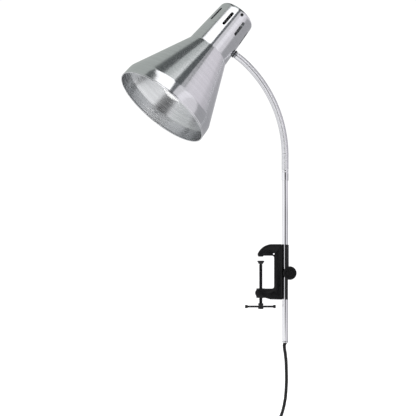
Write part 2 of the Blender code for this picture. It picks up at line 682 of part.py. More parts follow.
def swivel():
    """Nipple, washer and nut that hold the shade on the gooseneck."""
    at = Matrix.Translation(shade_pivot()) @ Matrix.Rotation(pi - NECK_BEND, 4, "Y")
    flange_radius, flange_thick = NIPPLE_FLANGE
    top = swivel_reach() - GAP
    foot = HOLDER_RADIUS + NIPPLE_INNER_GAP
    nipple = [
        (NECK_BORE, foot), (NIPPLE_RADIUS, foot),
        (NIPPLE_RADIUS, top - flange_thick), (flange_radius, top - flange_thick),
        (flange_radius, top), (NECK_BORE, top),
    ]
    turned("swivel_nipple", nipple, "steel", None, at, 28)
    tilt = (CREASE_RADIUS - BACK_RADIUS) / (BACK_Z - CREASE_Z)
    wall = housing_radius(0)
    washer_foot = wall + tilt * WASHER_RADIUS + GAP
    tube(
        "swivel_washer", WASHER_RADIUS, NIPPLE_RADIUS + GAP, washer_foot, washer_foot + WASHER_THICK,
        "black_plastic", None, at, 28,
    )
    corner = SWIVEL_NUT_WIDTH / 2 / cos(pi / 6)
    inside = sqrt((wall - SHADE_WALL) ** 2 - corner**2) - tilt * corner - GAP
    hexagon = [(corner * cos(a), corner * sin(a)) for a in np.arange(6) * pi / 3]
    nut = slab("swivel_nut", hexagon, inside - SWIVEL_NUT_THICK, inside, "steel", None, at)
    cut(nut, bar("swivel_nut_hole", NIPPLE_RADIUS + GAP, 0, CREASE_RADIUS + BEYOND, "steel", None, at))


def shade_profile():
    """The closed outline of the spun shell, outer side first."""
    taper = atan2(CREASE_RADIUS - BACK_RADIUS, BACK_Z - CREASE_Z)
    corner_r = housing_radius(BACK_Z - BACK_CORNER) - BACK_CORNER * cos(taper)
    corner = (corner_r, BACK_Z - BACK_CORNER)
    knee = (MOUTH_RADIUS - BAND_SWELL, SHOULDER_Z - BAND_KNEE)
    outer = bow((MOUTH_RADIUS, MOUTH_Z), knee, (SHOULDER_RADIUS, SHOULDER_Z), 5)
    outer += [(CREASE_RADIUS, CREASE_Z)]
    outer += arc(corner, BACK_CORNER, taper, pi / 2, 5)
    inner_knee = (knee[0] - SHADE_WALL, knee[1])
    inner_shoulder = (SHOULDER_RADIUS - SHADE_WALL * 1.2, SHOULDER_Z - SHADE_WALL * 0.3)
    inner = bow((MOUTH_RADIUS - SHADE_WALL, MOUTH_Z), inner_knee, inner_shoulder, 5)
    inner += [(CREASE_RADIUS - SHADE_WALL * 1.1, CREASE_Z - SHADE_WALL * 0.2)]
    inner += arc(corner, BACK_CORNER - SHADE_WALL, taper, pi / 2, 5)
    return [(0, BACK_Z - SHADE_WALL), *reversed(inner), *outer, (0, BACK_Z)]


def slot_outline():
    """A slot with round ends, across and along the shade's axis."""
    half = SLOT_WIDTH / 2
    low, high = SLOT_ENDS_Z
    return arc((0, high - half), half, 0, pi, 8) + arc((0, low + half), half, pi, 2 * pi, 8)


def shade(head):
    """The spun shell with its slots, swivel hole and screw holes."""
    shell = turned("shade_shell", shade_profile(), "aluminium", head, sides=48)
    for number in range(SLOT_COUNT):
        angle = SLOT_ANGLE + number * 2 * pi / SLOT_COUNT
        at = Matrix.Rotation(angle, 4, "Z") @ FACING_FRONT
        cut(shell, slab(f"slot_{number + 1}", slot_outline(), *WALL_CUT, "aluminium", head, at))
    cut(shell, bar("swivel_hole", NIPPLE_RADIUS + SLIDE_GAP, *WALL_CUT, "aluminium", head, ALONG_X))
    screws = bracket_frame(head)
    at = Matrix.Translation((0, 0, BRACKET_SCREW_Z)) @ ALONG_X
    hole, far = BRACKET_SCREW_RADIUS + GAP, WALL_CUT[1]
    cut(shell, bar("screw_holes", hole, -far, far, "aluminium", screws, at, 12))


def bracket_frame(head):
    """The guide whose X axis runs through both bracket screws."""
    guide = bpy.data.objects.get("bracket_guide")
    return guide or empty("bracket_guide", Matrix.Rotation(BRACKET_ANGLE - pi / 2, 4, "Z"), head)


def bracket(head):
    """The strap across the shade that carries the lampholder, and its screws."""
    guide = bracket_frame(head)
    half = BRACKET_WIDTH / 2
    ear_inner_wall = housing_radius(BRACKET_EAR_TOP_Z) - SHADE_WALL - GAP
    reach = sqrt(ear_inner_wall**2 - half**2) - GAP
    low, high = BRACKET_Z, BRACKET_EAR_TOP_Z
    t = BRACKET_THICK
    outline = [
        (-reach, high), (-reach, low), (reach, low), (reach, high),
        (reach - t, high), (reach - t, low + t), (t - reach, low + t), (t - reach, high),
    ]
    strap = slab("holder_bracket", outline, -half, half, "steel", guide, FACING_FRONT)
    cut(strap, bar("stem_way", STEM_RADIUS + GAP, low - BEYOND, low + BEYOND, "steel", guide))
    across_at = Matrix.Translation((0, 0, BRACKET_SCREW_Z)) @ ALONG_X
    hole, far = BRACKET_SCREW_RADIUS + GAP, WALL_CUT[1]
    cut(strap, bar("ear_holes", hole, -far, far, "steel", guide, across_at, 12))
    head_radius, head_height = BRACKET_SCREW_HEAD
    seat = housing_radius(BRACKET_SCREW_Z - head_radius) + GAP
    inner = reach - t - BRACKET_SCREW_DEPTH
    for number, turn in ((1, 0), (2, pi)):
        screw = [
            (0, inner), (BRACKET_SCREW_RADIUS, inner), (BRACKET_SCREW_RADIUS, seat), (head_radius, seat),
            (head_radius, seat + head_height * 0.4), (head_radius * 0.55, seat + head_height),
            (0, seat + head_height),
        ]
        at = Matrix.Rotation(turn, 4, "Z") @ across_at
        turned(f"bracket_screw_{number}", screw, "steel", guide, at, 16)


def lampholder(head):
    """Holder body, threaded sleeve, contact, terminals, cap and hollow stem."""
    body = [
        (0, HOLDER_FLOOR_Z), (HOLDER_BORE, HOLDER_FLOOR_Z), (HOLDER_BORE, HOLDER_FOOT_Z),
        (HOLDER_RADIUS, HOLDER_FOOT_Z), (HOLDER_RADIUS, HOLDER_TOP_Z),
        (TERMINAL_RADIUS + GAP, HOLDER_TOP_Z), (TERMINAL_RADIUS + GAP, TERMINAL_FLOOR_Z),
        (0, TERMINAL_FLOOR_Z),
    ]
    turned("holder_body", body, "black_plastic", head, sides=28)
    sleeve = HOLDER_BORE - GAP
    tube("holder_sleeve", sleeve, sleeve - SLEEVE_WALL, *SLEEVE_ENDS_Z, "brass", head, sides=24)
    contact_top = HOLDER_FLOOR_Z - GAP
    bar("centre_contact", CONTACT_RADIUS, contact_top - CONTACT_THICK, contact_top, "brass", head, sides=16)
    block_foot = TERMINAL_FLOOR_Z + GAP
    bar("terminal_block", TERMINAL_RADIUS, block_foot, block_foot + TERMINAL_THICK, "black_plastic", head)
    cap_foot = HOLDER_TOP_Z + GAP
    cap_top = cap_foot + HOLDER_CAP_HEIGHT
    cap = [
        (STEM_RADIUS + GAP, cap_foot), (HOLDER_RADIUS, cap_foot), (HOLDER_RADIUS, cap_foot + HOLDER_CAP_RIM),
        *bow((HOLDER_RADIUS - EASE, cap_foot + HOLDER_CAP_RIM + EASE), (HOLDER_RADIUS - 2 * EASE, cap_top),
             (HOLDER_CAP_RADIUS, cap_top), 4),
        (STEM_RADIUS + GAP, cap_top),
    ]
    turned("holder_cap", cap, "black_plastic", head, sides=28)
    plate_top = BRACKET_Z + BRACKET_THICK + GAP
    flange_radius, flange_thick = STEM_FLANGE
    stem_foot = cap_foot + STEM_LIFT
    stem = [
        (STEM_BORE, stem_foot), (STEM_RADIUS, stem_foot), (STEM_RADIUS, plate_top),
        (flange_radius, plate_top), (flange_radius, plate_top + flange_thick),
        (STEM_BORE, plate_top + flange_thick),
    ]
    turned("holder_stem", stem, "steel", head, sides=24)


def bulb_side(radius, neck_radius, neck_top):
    """A bulb's outline from its tip to its neck, as (radius, height)."""
    leave = radians(38)
    crown = arc((0, BULB_CENTRE_Z), radius, -pi / 2, leave, 8)
    start = Vector(crown[-1])
    heading = Vector((-sin(leave), cos(leave)))
    middle = start + heading * (start.x - neck_radius) / sin(leave) * 0.85
    return crown + bow(start, middle, (neck_radius, neck_top), 4)[1:]


def bulb(head):
    """The glass envelope, open at its neck, and the threaded cap."""
    cap_low, cap_high = BULB_CAP_ENDS_Z
    shoulder = cap_low - GLASS_THROAT
    neck_end = cap_low + GLASS_IN_CAP
    outer = bulb_side(BULB_RADIUS, GLASS_NECK_RADIUS, shoulder)
    inner = bulb_side(BULB_RADIUS - GLASS_WALL, GLASS_NECK_RADIUS - GLASS_WALL, shoulder)
    glass = [
        *outer, (GLASS_NECK_RADIUS, neck_end), (GLASS_NECK_RADIUS - GLASS_WALL, neck_end), *reversed(inner),
    ]
    glass[0] = (0, glass[0][1])
    glass[-1] = (0, glass[-1][1])
    turned("bulb_glass", glass, "glass", head, sides=24)
    contact_radius, contact_height = BULB_CONTACT
    taper = BULB_CAP_TAPER
    cap = [
        (0, cap_high - BULB_CAP_WALL), (BULB_CAP_RADIUS - BULB_CAP_WALL - taper, cap_high - BULB_CAP_WALL),
        (BULB_CAP_RADIUS - BULB_CAP_WALL, cap_high - taper), (BULB_CAP_RADIUS - BULB_CAP_WALL, cap_low),
        (BULB_CAP_RADIUS, cap_low), (BULB_CAP_RADIUS, cap_high - taper),
        (BULB_CAP_RADIUS - taper, cap_high), (contact_radius, cap_high),
        (contact_radius - 2 * EASE, cap_high + contact_height), (0, cap_high + contact_height),
    ]
    turned("bulb_cap", cap, "steel", head, sides=24)


# ---------------------------------------------------------------- cord


def smooth(points, spacing):
    """Points along a centripetal curve through a route's own points."""
    route = [Vector(p) for p in points]
    route = [2 * route[0] - route[1], *route, 2 * route[-1] - route[-2]]
    dense = []
    for before, start, end, after in zip(route, route[1:], route[2:], route[3:]):
        for t in np.linspace(0, 1, 12, endpoint=False):
            dense.append(0.5 * (
                2 * start + (end - before) * t + (2 * before - 5 * start + 4 * end - after) * t**2
                + (3 * start - before - 3 * end + after) * t**3
            ))
    dense.append(route[-2])
    runs = np.cumsum([0] + [(b - a).length for a, b in zip(dense, dense[1:])])
    wanted = np.linspace(0, runs[-1], max(3, round(runs[-1] / spacing)) + 1)
    xyz = np.array(dense)
    return np.column_stack([np.interp(wanted, runs, xyz[:, k]) for k in range(3)])


def cord(name, route):
    """A round cord along a route."""
    curve = bpy.data.curves.new(name, "CURVE")
    curve.dimensions = "3D"
    curve.bevel_depth = CORD_RADIUS
    curve.bevel_resolution = 2
    curve.use_fill_caps = True
    points = smooth(route, 5 * CORD_RADIUS)
    spline = curve.splines.new("POLY")
    spline.points.add(len(points) - 1)
    for spot, xyz in zip(spline.points, points):
        spot.co = (*xyz, 1.0)
    place(name, curve, "black_rubber")


def coil():
    """The spare cord as one turned ring, and the tie around it."""
    low = FLOOR_Z + TIE_THICK + GAP
    high = low + COIL_HEIGHT
    inner, outer = COIL_MID_RADIUS - COIL_WIDTH / 2, COIL_MID_RADIUS + COIL_WIDTH / 2
    round_off = CORD_RADIUS
    ring = [
        *arc((outer - round_off, low + round_off), round_off, -pi / 2, 0, 2),
        *arc((outer - round_off, high - round_off), round_off, 0, pi / 2, 2),
        *arc((inner + round_off, high - round_off), round_off, pi / 2, pi, 2),
        *arc((inner + round_off, low + round_off), round_off, pi, 3 * pi / 2, 2),
    ]
    centre = Matrix.Translation((*COIL_CENTRE, 0))
    turned("cord_coil", ring, "black_rubber", None, centre, 28)
    reach = COIL_WIDTH / 2 + GAP
    middle_z = (low + high) / 2
    rise = COIL_HEIGHT / 2 + GAP
    at = centre @ Matrix.Rotation(TIE_ANGLE, 4, "Z") @ Matrix.Translation((COIL_MID_RADIUS, 0, middle_z))
    at = at @ FACING_FRONT
    width, height = 2 * (reach + TIE_THICK), 2 * (rise + TIE_THICK)
    band = slab("coil_tie", rounded(width + TIE_SLACK, height, TIE_CORNER), -TIE_WIDTH / 2, TIE_WIDTH / 2,
                "black_plastic", None, at)
    hollow = rounded(width + TIE_SLACK - 2 * TIE_THICK, height - 2 * TIE_THICK, TIE_CORNER - TIE_THICK)
    cut(band, slab("tie_hollow", hollow, -TIE_WIDTH, TIE_WIDTH, "black_plastic", None, at))


def switch():
    """The inline switch: two half shells and a rocker in its off place."""
    at = Matrix.Translation((SWITCH_X, 0, 0))
    outline = rounded(SWITCH_LENGTH, SWITCH_WIDTH, SWITCH_CORNER)
    top = FLOOR_Z + SWITCH_HEIGHT
    low_half = slab("switch_base", outline, FLOOR_Z, SWITCH_AXIS_Z - GAP / 2, "black_plastic", None, at)
    high_half = slab("switch_cover", outline, SWITCH_AXIS_Z + GAP / 2, top, "black_plastic", None, at)
    window = rounded(ROCKER_LENGTH + 2 * SLIDE_GAP, ROCKER_WIDTH + 2 * SLIDE_GAP, WINDOW_CORNER, 2)
    pocket_floor = SWITCH_AXIS_Z - ROCKER_POCKET_DEPTH
    cut(high_half, slab("switch_window", window, FLOOR_Z, top + BEYOND, "black_plastic", None, at))
    cut(low_half, slab("switch_pocket", window, pocket_floor, top, "black_plastic", None, at))
    half = ROCKER_LENGTH / 2 - EASE
    end = ROCKER_CROWN * ROCKER_END_SHARE
    low, rest = -ROCKER_DEPTH / 2, ROCKER_DEPTH / 2
    wedge = [
        (-half * ROCKER_FOOT_SHARE, low), (half * ROCKER_FOOT_SHARE, low), (half, rest - ROCKER_SIDE),
        (half, rest + end), (0, rest), (-half, rest + end), (-half, rest - ROCKER_SIDE),
    ]
    pivot = Matrix.Translation((SWITCH_X, 0, ROCKER_PIVOT_Z)) @ Matrix.Rotation(ROCKER_REST, 4, "Y")
    width = ROCKER_WIDTH / 2
    slab("switch_rocker", wedge, -width, width, "black_plastic", None, pivot @ FACING_FRONT)


def plug():
    """A flat two-pin plug lying on the surface."""
    half, nose = PLUG_WIDTH / 2, PLUG_NOSE_WIDTH / 2
    outline = [
        (0, -nose), (PLUG_LENGTH * PLUG_TAPER_SHARE, -half), (PLUG_LENGTH, -half),
        (PLUG_LENGTH, half), (PLUG_LENGTH * PLUG_TAPER_SHARE, half), (0, nose),
    ]
    at = Matrix.Translation((PLUG_BACK_X, PLUG_Y, 0))
    body = slab("plug_body", outline, FLOOR_Z, FLOOR_Z + PLUG_HEIGHT, "black_plastic", None, at)
    soften = body.modifiers.new("soften", "BEVEL")
    soften.width = PLUG_EDGE
    soften.segments = 2
    start = PLUG_LENGTH - PIN_IN_PLUG
    for name, side in (("plug_pin_left", 1), ("plug_pin_right", -1)):
        pin_at = at @ Matrix.Translation((0, side * PIN_SPACING / 2, PLUG_AXIS_Z)) @ ALONG_X
        tip = PLUG_LENGTH + PIN_LENGTH
        pin = [
            (0, start + GAP), (PIN_RADIUS, start + GAP), (PIN_RADIUS, tip - PIN_RADIUS / 2),
            (PIN_RADIUS / 2, tip), (0, tip),
        ]
        turned(name, pin, "brass", None, pin_at, 16)
        cut(body, bar(f"{name}_hole", PIN_RADIUS + GAP, start, tip, "brass", None, pin_at, 16))


def main():
    """Build the whole lamp."""
    clear_scene()
    clamp_frame()
    jaw_pad()
    clamp_screw()
    rod_keeper()
    rod()
    gooseneck()
    swivel()
    turn = Matrix.Rotation(pi / 2 - NECK_BEND, 4, "Y") @ Matrix.Rotation(HEAD_TWIST, 4, "X")
    head = empty("shade_guide", Matrix.Translation(shade_pivot()) @ turn)
    shade(head)
    bracket(head)
    lampholder(head)
    bulb(head)
    cord("power_cord", DROP_ROUTE)
    cord("switch_cord", COIL_ROUTE)
    cord("plug_cord", PLUG_ROUTE)
    coil()
    switch()
    plug()


main()
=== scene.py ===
"""Looks of a clip-on reading lamp: its visible pieces, their finishes, the studio and the camera.

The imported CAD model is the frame. Every piece is modelled in place, in metres, +Z up,
from the joints and boxes of that frame and from the sizes that each sub-assembly holds.
"""

from __future__ import annotations

import json
import logging
from dataclasses import dataclass
from enum import Enum
from math import ceil, cos, pi, radians, sin, sqrt, tau

import bmesh
import bpy
import numpy as np
from mathutils import Matrix, Vector


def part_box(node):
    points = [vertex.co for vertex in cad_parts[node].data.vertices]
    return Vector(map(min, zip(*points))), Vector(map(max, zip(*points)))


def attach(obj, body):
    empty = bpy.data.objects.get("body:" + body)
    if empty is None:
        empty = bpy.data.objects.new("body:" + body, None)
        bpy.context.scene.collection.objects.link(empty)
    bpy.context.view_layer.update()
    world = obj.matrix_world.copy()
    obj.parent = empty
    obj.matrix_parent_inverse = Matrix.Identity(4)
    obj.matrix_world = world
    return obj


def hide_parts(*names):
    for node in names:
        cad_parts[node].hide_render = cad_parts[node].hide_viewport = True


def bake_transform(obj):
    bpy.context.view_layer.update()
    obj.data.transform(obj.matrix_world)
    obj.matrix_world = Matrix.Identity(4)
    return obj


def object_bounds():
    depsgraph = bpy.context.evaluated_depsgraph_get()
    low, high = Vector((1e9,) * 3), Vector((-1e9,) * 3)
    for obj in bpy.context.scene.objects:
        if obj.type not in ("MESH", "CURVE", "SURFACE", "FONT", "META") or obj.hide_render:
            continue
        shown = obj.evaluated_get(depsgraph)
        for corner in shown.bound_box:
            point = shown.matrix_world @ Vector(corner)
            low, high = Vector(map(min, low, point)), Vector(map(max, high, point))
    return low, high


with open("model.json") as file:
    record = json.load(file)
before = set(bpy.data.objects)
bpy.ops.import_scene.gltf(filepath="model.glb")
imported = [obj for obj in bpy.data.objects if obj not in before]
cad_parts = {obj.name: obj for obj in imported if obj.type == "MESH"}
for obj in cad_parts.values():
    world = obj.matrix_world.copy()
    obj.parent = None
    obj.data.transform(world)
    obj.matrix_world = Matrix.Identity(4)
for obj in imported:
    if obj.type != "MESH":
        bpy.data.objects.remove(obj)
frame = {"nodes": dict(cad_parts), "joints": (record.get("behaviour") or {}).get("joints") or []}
CAD_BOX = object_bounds()
JOINTS = {joint["name"]: joint for joint in frame["joints"]}
LOG = logging.getLogger("lamp")

Outline = list[tuple[float, ...]]
Point = tuple[float, float, float]
Route = tuple[Point, ...]

GAP = 0.0003
ALONG_X = Vector((1, 0, 0))
LAY_FACE_RADIUS = 0.0285
LAY_TURN = 0.05


# ---------------------------------------------------------------- finishes


class Grain(Enum):
    """How a surface is broken up, from the way it was made."""

    CAST = "cast"
    MOULDED = "moulded"
    PLATED = "plated"
    SPUN = "spun"
    SATIN = "satin"
    RUBBER = "rubber"
    OPAL = "opal"


@dataclass(frozen=True)
class Finish:
    """A surface finish and the node material made from it."""

    name: str
    slot: str
    grain: Grain
    colour: tuple[float, float, float]
    shade: tuple[float, float, float]
    roughness: tuple[float, float]
    metallic: float = 0.0
    cells: float = 400.0
    relief: float = 0.0
    coat: float = 0.0
    stretch: float = 0.0
    specular: float = 0.5

    def material(self) -> bpy.types.Material:
        """The node material of this finish, made on first use.

        Returns:
            The material, shared by every piece with this finish.
        """
        found = bpy.data.materials.get(self.name)
        if found:
            return found
        made = bpy.data.materials.new(self.name)
        made.use_nodes = True
        tree = made.node_tree
        shader = tree.nodes["Principled BSDF"]
        shader.inputs["Metallic"].default_value = self.metallic
        shader.inputs["Specular IOR Level"].default_value = self.specular
        shader.inputs["Coat Weight"].default_value = self.coat
        shader.inputs["Coat Roughness"].default_value = 0.08
        shader.inputs["Anisotropic"].default_value = self.stretch
        if self.grain is Grain.OPAL:
            shader.inputs["Subsurface Weight"].default_value = 0.35
            shader.inputs["Subsurface Radius"].default_value = (0.01, 0.01, 0.01)
        fine = self._grain_noise(tree, self.cells, 4.0)
        broad = self._grain_noise(tree, self.cells / 12, 2.0)
        self._colour_from(tree, broad, shader)
        self._roughness_from(tree, fine, shader)
        if self.relief:
            bump = tree.nodes.new("ShaderNodeBump")
            bump.inputs["Strength"].default_value = 0.6
            bump.inputs["Distance"].default_value = self.relief
            tree.links.new(fine, bump.inputs["Height"])
            tree.links.new(bump.outputs["Normal"], shader.inputs["Normal"])
        if self.stretch:
            lay = tree.nodes.new("ShaderNodeTangent")
            lay.direction_type = "UV_MAP"
            lay.uv_map = "lay"
            tree.links.new(lay.outputs["Tangent"], shader.inputs["Tangent"])
        return made

    def _grain_noise(self, tree: bpy.types.NodeTree, cells: float, detail: float) -> bpy.types.NodeSocket:
        """A noise field in the space that the grain follows.

        Args:
            tree: The material's nodes.
            cells: Noise cells per metre.
            detail: Octaves of finer noise.

        Returns:
            The noise's value.
        """
        place = tree.nodes.new("ShaderNodeTexCoord")
        noise = tree.nodes.new("ShaderNodeTexNoise")
        noise.inputs["Scale"].default_value = cells
        noise.inputs["Detail"].default_value = detail
        if self.grain in (Grain.SPUN, Grain.SATIN):
            turn = tree.nodes.new("ShaderNodeMapping")
            turn.inputs["Scale"].default_value = (1.0, 0.002, 1.0)
            tree.links.new(place.outputs["UV"], turn.inputs["Vector"])
            tree.links.new(turn.outputs["Vector"], noise.inputs["Vector"])
        else:
            tree.links.new(place.outputs["Object"], noise.inputs["Vector"])
        return noise.outputs["Fac"]

    def _colour_from(
        self, tree: bpy.types.NodeTree, field: bpy.types.NodeSocket, shader: bpy.types.Node
    ) -> None:
        """Vary the base colour between the finish's two tones."""
        ramp = tree.nodes.new("ShaderNodeValToRGB")
        ramp.color_ramp.elements[0].position = 0.35
        ramp.color_ramp.elements[0].color = (*self.shade, 1.0)
        ramp.color_ramp.elements[1].position = 0.65
        ramp.color_ramp.elements[1].color = (*self.colour, 1.0)
        tree.links.new(field, ramp.inputs["Fac"])
        tree.links.new(ramp.outputs["Color"], shader.inputs["Base Color"])

    def _roughness_from(
        self, tree: bpy.types.NodeTree, field: bpy.types.NodeSocket, shader: bpy.types.Node
    ) -> None:
        """Vary the roughness between the finish's two limits."""
        spread = tree.nodes.new("ShaderNodeMapRange")
        spread.inputs["From Min"].default_value = 0.3
        spread.inputs["From Max"].default_value = 0.7
        spread.inputs["To Min"].default_value = self.roughness[0]
        spread.inputs["To Max"].default_value = self.roughness[1]
        tree.links.new(field, spread.inputs["Value"])
        tree.links.new(spread.outputs["Result"], shader.inputs["Roughness"])


CAST_PAINT = Finish(
    "cast_paint", "cast_black", Grain.CAST, (0.0045, 0.0045, 0.005), (0.003, 0.003, 0.0035),
    (0.30, 0.48), cells=1500, relief=0.00012, specular=0.3,
)
KNOB_PLASTIC = Finish(
    "knob_plastic", "black_plastic", Grain.MOULDED, (0.0045, 0.0045, 0.005), (0.003, 0.003, 0.0035),
    (0.28, 0.40), cells=2500, relief=0.00003, specular=0.3,
)
LEAD_PLASTIC = Finish(
    "lead_plastic", "cord_rubber", Grain.RUBBER, (0.006, 0.006, 0.007), (0.004, 0.004, 0.0045),
    (0.34, 0.46), cells=900, relief=0.00004, specular=0.4,
)
JAW_RUBBER = Finish(
    "jaw_rubber", "rubber", Grain.RUBBER, (0.012, 0.012, 0.012), (0.008, 0.008, 0.008),
    (0.70, 0.85), cells=1800, relief=0.00008, specular=0.3,
)
BLACK_STEEL = Finish(
    "blackened_steel", "black_steel", Grain.CAST, (0.014, 0.014, 0.016), (0.010, 0.010, 0.011),
    (0.24, 0.38), metallic=0.3, cells=1600, relief=0.00003, specular=0.4,
)
ZINC = Finish(
    "zinc", "zinc_steel", Grain.PLATED, (0.52, 0.52, 0.54), (0.42, 0.43, 0.46),
    (0.28, 0.42), metallic=1.0, cells=700, relief=0.00001,
)
BRIGHT_CHROME = Finish(
    "bright_chrome", "chrome", Grain.PLATED, (0.80, 0.80, 0.82), (0.76, 0.76, 0.78),
    (0.03, 0.06), metallic=1.0, cells=300,
)
SPUN_ALUMINIUM = Finish(
    "turned_aluminium", "spun_aluminium", Grain.SPUN, (0.76, 0.765, 0.78), (0.70, 0.705, 0.72),
    (0.13, 0.19), metallic=1.0, cells=2600, relief=0.000006, stretch=0.8,
)
SATIN_ALUMINIUM = Finish(
    "satin_aluminium", "spun_aluminium", Grain.SATIN, (0.74, 0.75, 0.76), (0.66, 0.67, 0.68),
    (0.22, 0.32), metallic=1.0, cells=1800, relief=0.00001, stretch=0.6,
)
PLAIN_BRASS = Finish(
    "plain_brass", "brass", Grain.PLATED, (0.72, 0.56, 0.29), (0.60, 0.45, 0.22),
    (0.22, 0.36), metallic=1.0, cells=600, relief=0.00001,
)
OPAL_GLASS = Finish(
    "opal_glass", "bulb_glass", Grain.OPAL, (0.93, 0.93, 0.92), (0.90, 0.90, 0.89),
    (0.16, 0.24), cells=120, coat=0.5,
)


# ---------------------------------------------------------------- mesh tools


def softened(outline: Outline, steps: int = 3) -> list[tuple[float, float]]:
    """Round the corners of an outline.

    Args:
        outline: Points of (across, along) or (across, along, setback of the round).
        steps: Straight pieces in each round.

    Returns:
        The outline's points, with a short curve in place of each corner that has a setback.
    """
    points: list[tuple[float, float]] = []
    for index, corner in enumerate(outline):
        here = Vector(corner[:2])
        if len(corner) < 3 or index in (0, len(outline) - 1):
            points.append(tuple(here))
            continue
        before = Vector(outline[index - 1][:2]) - here
        after = Vector(outline[index + 1][:2]) - here
        reach = min(corner[2], 0.48 * before.length, 0.48 * after.length)
        start, end = here + before.normalized() * reach, here + after.normalized() * reach
        for t in np.linspace(0.0, 1.0, steps + 1):
            points.append(tuple((1 - t) ** 2 * start + 2 * t * (1 - t) * here + t * t * end))
    return points


def bow(
    start: tuple[float, float], pull: tuple[float, float], end: tuple[float, float], steps: int
) -> Outline:
    """Points of a quadratic curve from start to end, drawn towards pull."""
    ends = [Vector(p) for p in (start, pull, end)]
    return [
        tuple((1 - t) ** 2 * ends[0] + 2 * t * (1 - t) * ends[1] + t * t * ends[2])
        for t in np.linspace(0.0, 1.0, steps + 1)
    ]


def spun(
    outline: Outline, sides: int, place: Matrix | None = None, closed: bool = False
) -> bmesh.types.BMesh:
    """Turn an outline about Z.

    Args:
        outline: Points of (radius, height).
        sides: Steps in the full turn.
        place: Where the turned shape goes.
        closed: Whether the outline's last point joins its first.

    Returns:
        A closed mesh with its faces pointing out.
    """
    bm = bmesh.new()
    ring = [bm.verts.new((max(r, 0.0), 0.0, z)) for r, z in outline]
    edges = [bm.edges.new(pair) for pair in zip(ring, ring[1:])]
    if closed:
        edges.append(bm.edges.new((ring[-1], ring[0])))
    bmesh.ops.spin(
        bm, geom=ring + edges, cent=(0, 0, 0), axis=(0, 0, 1), angle=tau, steps=sides, use_merge=True
    )
    bmesh.ops.remove_doubles(bm, verts=bm.verts, dist=1e-7)
    bmesh.ops.recalc_face_normals(bm, faces=bm.faces)
    if place is not None:
        bm.transform(place)
    return bm


def coiled(outline: Outline, pitch: float, low: float, high: float, sides: int) -> bmesh.types.BMesh:
    """Sweep one pitch of a thread or a wound tube between two flat ends.

    Args:
        outline: One pitch as (radius, height), from height 0 to the pitch.
        pitch: Rise in one turn.
        low: Height of the lower end.
        high: Height of the upper end.
        sides: Steps in each turn.

    Returns:
        A closed mesh about Z.
    """
    turns = ceil((high - low) / pitch) + 2
    bm = bmesh.new()
    ring = [bm.verts.new((r, 0.0, low - 1.5 * pitch + z)) for r, z in outline]
    edges = [bm.edges.new(pair) for pair in zip(ring, ring[1:])]
    bmesh.ops.spin(
        bm, geom=ring + edges, cent=(0, 0, 0), axis=(0, 0, 1), dvec=(0, 0, pitch / sides),
        angle=tau * turns, steps=sides * turns,
    )
    bmesh.ops.remove_doubles(bm, verts=bm.verts, dist=1e-6)
    trim(bm, low, high)
    return bm


def trim(bm: bmesh.types.BMesh, low: float, high: float) -> None:
    """Cut a tube about Z flat at two heights and close its ends."""
    for height, up in ((low, -1.0), (high, 1.0)):
        geom = bm.verts[:] + bm.edges[:] + bm.faces[:]
        bmesh.ops.bisect_plane(
            bm, geom=geom, dist=1e-7, plane_co=(0, 0, height), plane_no=(0, 0, up), clear_outer=True
        )
    open_edges = [e for e in bm.edges if e.is_boundary]
    bmesh.ops.holes_fill(bm, edges=open_edges)
    bmesh.ops.recalc_face_normals(bm, faces=bm.faces)


def round_edges(
    bm: bmesh.types.BMesh, edges: list[bmesh.types.BMEdge], width: float, segments: int, clamp: bool = True
) -> None:
    """Round some edges of a mesh, by default no wider than their faces allow."""
    bmesh.ops.bevel(
        bm, geom=edges, offset=width, segments=segments, profile=0.5, affect="EDGES", material=-1,
        clamp_overlap=clamp,
    )


def soft_box(low: Vector, high: Vector, corner: float, edge: float, segments: int = 4) -> bmesh.types.BMesh:
    """A box with round upright corners and softened top and bottom edges.

    Args:
        low: Lowest corner.
        high: Highest corner.
        corner: Radius of the upright corners.
        edge: Radius of the top and bottom edges.
        segments: Steps in each round.

    Returns:
        A closed mesh.
    """
    bm = bmesh.new()
    size = Vector(high) - Vector(low)
    middle = (Vector(high) + Vector(low)) / 2
    bmesh.ops.create_cube(bm, size=1.0, matrix=Matrix.Translation(middle) @ Matrix.Diagonal((*size, 1.0)))
    upright = [e for e in bm.edges if abs(e.verts[0].co.z - e.verts[1].co.z) > size.z / 2]
    round_edges(bm, upright, corner, segments, clamp=False)
    if edge:
        rims = [e for e in bm.edges if abs(e.calc_face_angle(0.0)) > radians(60)]
        round_edges(bm, rims, edge, 3)
    return bm


def eased_copy(node: str, width: float, segments: int = 2, limit: float = 28.0) -> bmesh.types.BMesh:
    """A copy of a CAD node with its facets joined and its sharp edges rounded.

    Args:
        node: Name of the CAD node.
        width: Width of the round on each sharp edge.
        segments: Steps in the round.
        limit: Least angle, in degrees, of an edge that is rounded.

    Returns:
        The copy as a mesh in place.
    """
    bm = bmesh.new()
    bm.from_mesh(frame["nodes"][node].data)
    bmesh.ops.remove_doubles(bm, verts=bm.verts, dist=2e-6)
    bmesh.ops.dissolve_limit(bm, angle_limit=radians(0.8), verts=bm.verts, edges=bm.edges)
    sharp = [e for e in bm.edges if len(e.link_faces) == 2 and e.calc_face_angle(0.0) > radians(limit)]
    round_edges(bm, sharp, width, segments)
    return bm


